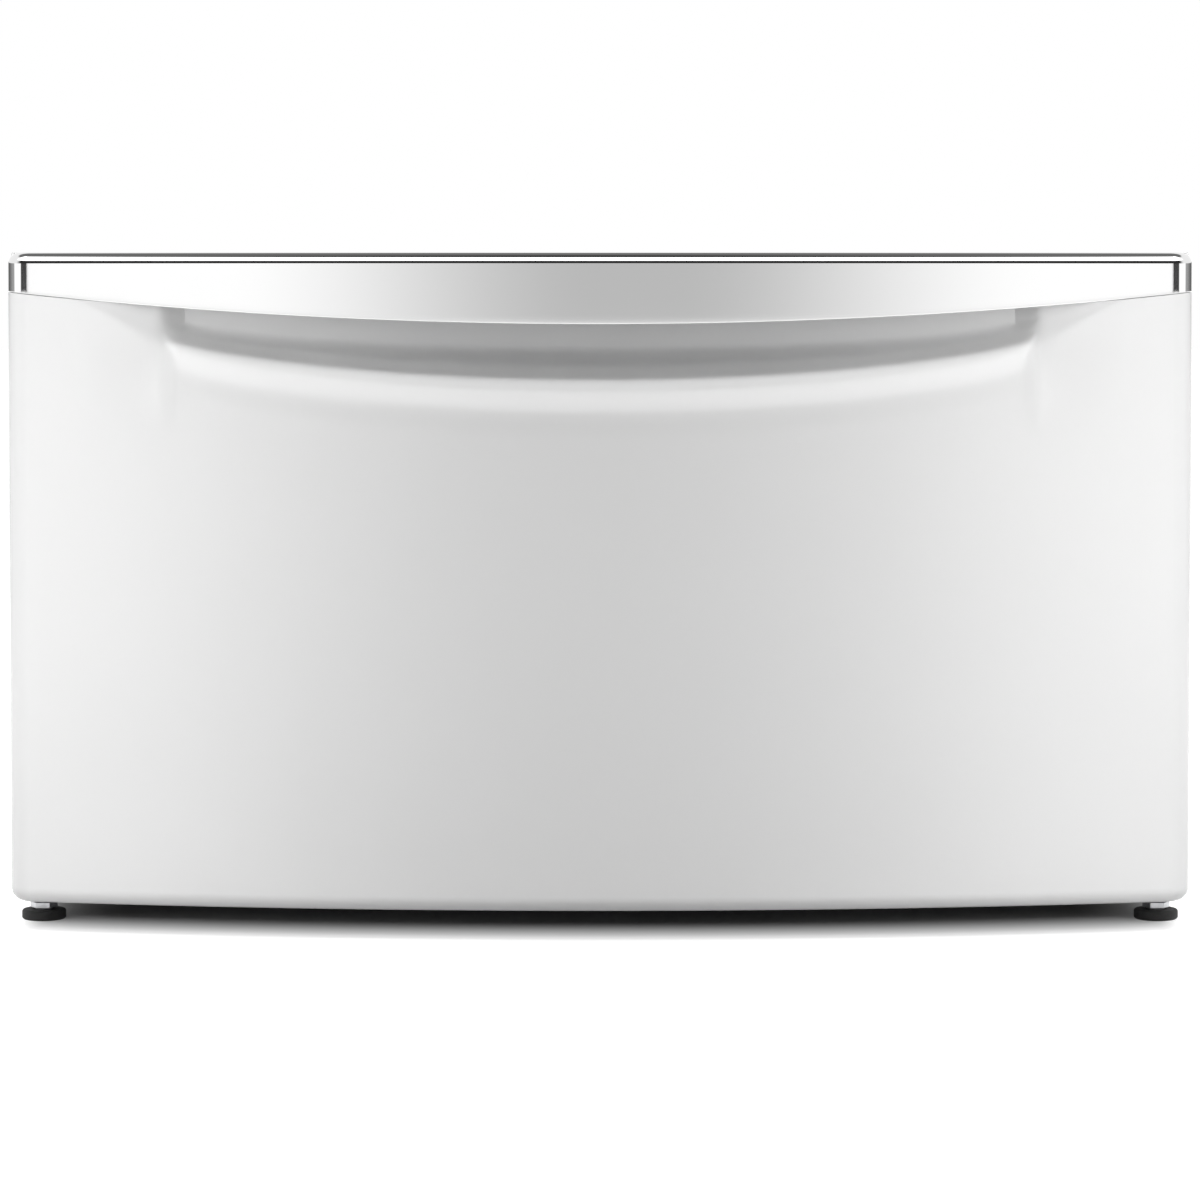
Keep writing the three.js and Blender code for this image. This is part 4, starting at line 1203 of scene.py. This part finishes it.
class PEDESTAL_OT_stage(PieceOperator, bpy.types.Operator):
    """Pale floor, soft studio light and the camera"""

    bl_idname = "pedestal.stage"
    bl_label = "Stage"

    def execute(self, context):
        stage = context.scene.pedestal_stage
        self.floor(stage)
        self.world(stage)
        self.lamps(stage)
        self.camera(stage)
        context.scene.view_settings.view_transform = "Standard"
        return {"FINISHED"}

    def floor(self, stage):
        """A matte floor that turns white to the camera and the gloss, except round the object, where
        its glow fades out and paints a shadow round the footprint.
        """
        size = 20.0
        corners = [(-size, -size, 0), (size, -size, 0), (size, size, 0), (-size, size, 0)]
        mesh = bpy.data.meshes.new("floor")
        mesh.from_pydata(corners, [], [(0, 1, 2, 3)])
        floor = added("floor", mesh)
        made = bpy.data.materials.new("floor")
        mesh.materials.append(made)
        finish = Finish(made)
        camera, gloss = finish.rays()
        x, y, _ = finish.parts(finish.place())
        bow = bpy.context.scene.pedestal_front.bow
        # Painted shadow: these edges follow the sides, the bowed front and the back of the footprint,
        # and the glow comes back over the fade beyond them.
        painted_shadow_side = HALF - 17 * MM
        side_rate = 5.0
        painted_shadow_front = FRONT + 80 * MM
        painted_shadow_rear = 260 * MM
        fade = 110 * MM
        beside = ((abs(x) - painted_shadow_side) * side_rate).largest(0.0)
        ahead = (x * x * (bow / HALF**2) + painted_shadow_front - y).largest(0.0)
        behind = (y - painted_shadow_rear).largest(0.0)
        past_painted_shadow = finish.math("SQRT", beside * beside + ahead * ahead + behind * behind)
        # The emission is zero inside the painted shadow's edges, so the floor near the object shows
        # only its matte shading and reads as a dark painted shadow.
        glow_outside_painted_shadow = camera.largest(gloss) * past_painted_shadow.between(0.0, fade)
        cloth = finish.noise(3.0, 3.0)
        colour = finish.shades(cloth, stage.floor, 0.99, 1.01)
        matte = finish.node("ShaderNodeBsdfDiffuse", {"Color": colour})
        light = finish.node("ShaderNodeEmission", {"Strength": glow_outside_painted_shadow})
        both = finish.node("ShaderNodeAddShader", {0: matte.outputs[0], 1: light.outputs[0]})
        finish.node("ShaderNodeOutputMaterial", {"Surface": both.outputs[0]})

    def world(self, stage):
        """White to the camera, a plain sky for the light, and a studio to the gloss."""
        world = bpy.data.worlds.new("studio")
        bpy.context.scene.world = world
        finish = Finish(world)
        generated = finish.node("ShaderNodeTexCoord").outputs["Generated"]
        x, y, z = finish.parts(generated)
        camera, gloss = finish.rays()
        studio = self.studio(finish, x, y, z)
        strength = camera + (1 - camera) * (gloss * studio + (1 - gloss) * stage.sky)
        white = (1.0, 1.0, 1.0, 1.0)
        light = finish.node("ShaderNodeBackground", {"Color": white, "Strength": strength})
        finish.node("ShaderNodeOutputWorld", {"Surface": light.outputs[0]})

    def studio(self, finish, x, y, z):
        """Pale walls with dark gaps, and a soft box overhead. All ranges are in degrees."""
        degree = 180 / math.pi
        middle = 1.9  # where the wall is dimmest, a little right of the camera
        wall_rise = (2, 24)
        wall_level, wall_gain = 0.58, 0.66
        gap_start = (33.6, 34.2)
        gap_end = (57, 61.5)
        gap_depth = 0.97
        dim_start = (92, 98)  # the walls dim here, and a little more over the next range
        dim_more = (98, 140)
        dim_depth, more_depth = 0.68, 0.22
        pale_again = (158, 166)
        box_start = (26, 29)
        box_end = (63, 67)
        box_side = (75, 95)
        box_level = 2.6
        horizon = (2, 3.5)
        upper_start = (60, 85)
        upper_top = (42, 50)
        top_depth = 0.85
        least = 0.03
        across = finish.math("ARCTAN2", x, -1 * y) * degree
        round_z = abs(across)
        up = finish.math("ARCSINE", z) * degree
        wall = wall_level + wall_gain * abs(across - middle).between(*wall_rise)
        gap = round_z.between(*gap_start) * (1 - round_z.between(*gap_end))
        dim = round_z.between(*dim_start) * (dim_depth + more_depth * round_z.between(*dim_more))
        far = dim - (dim_depth + more_depth) * round_z.between(*pale_again)
        low = wall * (1 - gap_depth * gap) * (1 - far)
        box = up.between(*box_start) * (1 - up.between(*box_end)) * (1 - round_z.between(*box_side))
        high = up.between(*horizon)
        upper = round_z.between(*upper_start) * (1 - top_depth * up.between(*upper_top))
        return low * (1 - high) + high * upper + least + box_level * box

    def lamps(self, stage):
        """Small lamps close to the front's ends, and large soft ones all round."""
        for side in (-1, 1):
            place = (side * 0.45, FRONT - 0.46, 0.25)
            self.lamp("side_lamp", stage.side_power, (0.3, 0.75), place, (side * 0.9, 0.1, 0.2))
            place = (side * 1.9, 0.5, 1.1)
            self.lamp("fill_lamp", stage.fill_power, (1.0, 1.2), place, (side * HALF, 0.1, 0.2))
        self.lamp("rear_lamp", stage.fill_power, (1.6, 1.2), (0, 2.2, 1.0), (0, HALF, 0.2))
        front = (0, FRONT, 0.35)
        self.lamp("front_lamp", stage.front_power, (1.6, 0.6), (0, FRONT - 2.76, 2.5), front)
        self.lamp("top_lamp", stage.top_power, (2.8, 0.8), (0, FRONT - 1.88, 4.77), front)

    def lamp(self, name, power, size, place, aim):
        """A soft lamp that neither the camera nor the gloss sees."""
        data = bpy.data.lights.new(name, "AREA")
        data.shape = "RECTANGLE"
        data.size, data.size_y = size
        data.energy = power
        lamp = added(name, data)
        lamp.location = place
        lamp.rotation_euler = (Vector(aim) - Vector(place)).to_track_quat("-Z", "Y").to_euler()
        lamp.visible_glossy = False
        lamp.visible_camera = False

    def camera(self, stage):
        """The photograph's view."""
        data = bpy.data.cameras.new("camera")
        data.lens = stage.lens
        data.sensor_width = 36.0
        data.shift_y = stage.shift
        data.clip_end = 100.0
        camera = added("camera", data)
        camera.location = (0.0, FRONT - stage.distance, stage.eye)
        camera.rotation_euler = (math.pi / 2 - stage.tilt, 0.0, 0.0)
        bpy.context.scene.camera = camera


class PEDESTAL_PT_sidebar(bpy.types.Panel):
    """Lists the pedestal's operators and settings"""

    bl_label = "Washer pedestal"
    bl_idname = "PEDESTAL_PT_sidebar"
    bl_space_type = "VIEW_3D"
    bl_region_type = "UI"
    bl_category = "Pedestal"

    def draw(self, context):
        for operator in OPERATORS:
            self.layout.operator(operator.bl_idname)
        for name, group in SETTINGS.items():
            column = self.layout.column()
            column.label(text=group.__doc__)
            for setting in group.__annotations__:
                column.prop(getattr(context.scene, name), setting)


OPERATORS = (
    PEDESTAL_OT_front,
    PEDESTAL_OT_pull,
    PEDESTAL_OT_casing,
    PEDESTAL_OT_frame,
    PEDESTAL_OT_box,
    PEDESTAL_OT_slides,
    PEDESTAL_OT_screws,
    PEDESTAL_OT_feet,
    PEDESTAL_OT_stage,
)
SETTINGS = {
    "pedestal_front": FrontSizes,
    "pedestal_pull": PullSizes,
    "pedestal_fittings": Fittings,
    "pedestal_finishes": Finishes,
    "pedestal_stage": StageSettings,
}


def register():
    for name, group in SETTINGS.items():
        bpy.utils.register_class(group)
        setattr(bpy.types.Scene, name, PointerProperty(type=group))
    for operator in OPERATORS:
        bpy.utils.register_class(operator)
    bpy.utils.register_class(PEDESTAL_PT_sidebar)


def unregister():
    bpy.utils.unregister_class(PEDESTAL_PT_sidebar)
    for operator in reversed(OPERATORS):
        bpy.utils.unregister_class(operator)
    for name, group in SETTINGS.items():
        delattr(bpy.types.Scene, name)
        bpy.utils.unregister_class(group)


def main():
    register()
    bpy.ops.pedestal.front()
    bpy.ops.pedestal.pull()
    bpy.ops.pedestal.casing()
    bpy.ops.pedestal.frame()
    bpy.ops.pedestal.box()
    bpy.ops.pedestal.slides()
    bpy.ops.pedestal.screws()
    bpy.ops.pedestal.feet()
    bpy.ops.pedestal.stage()


if __name__ == "__main__":
    main()
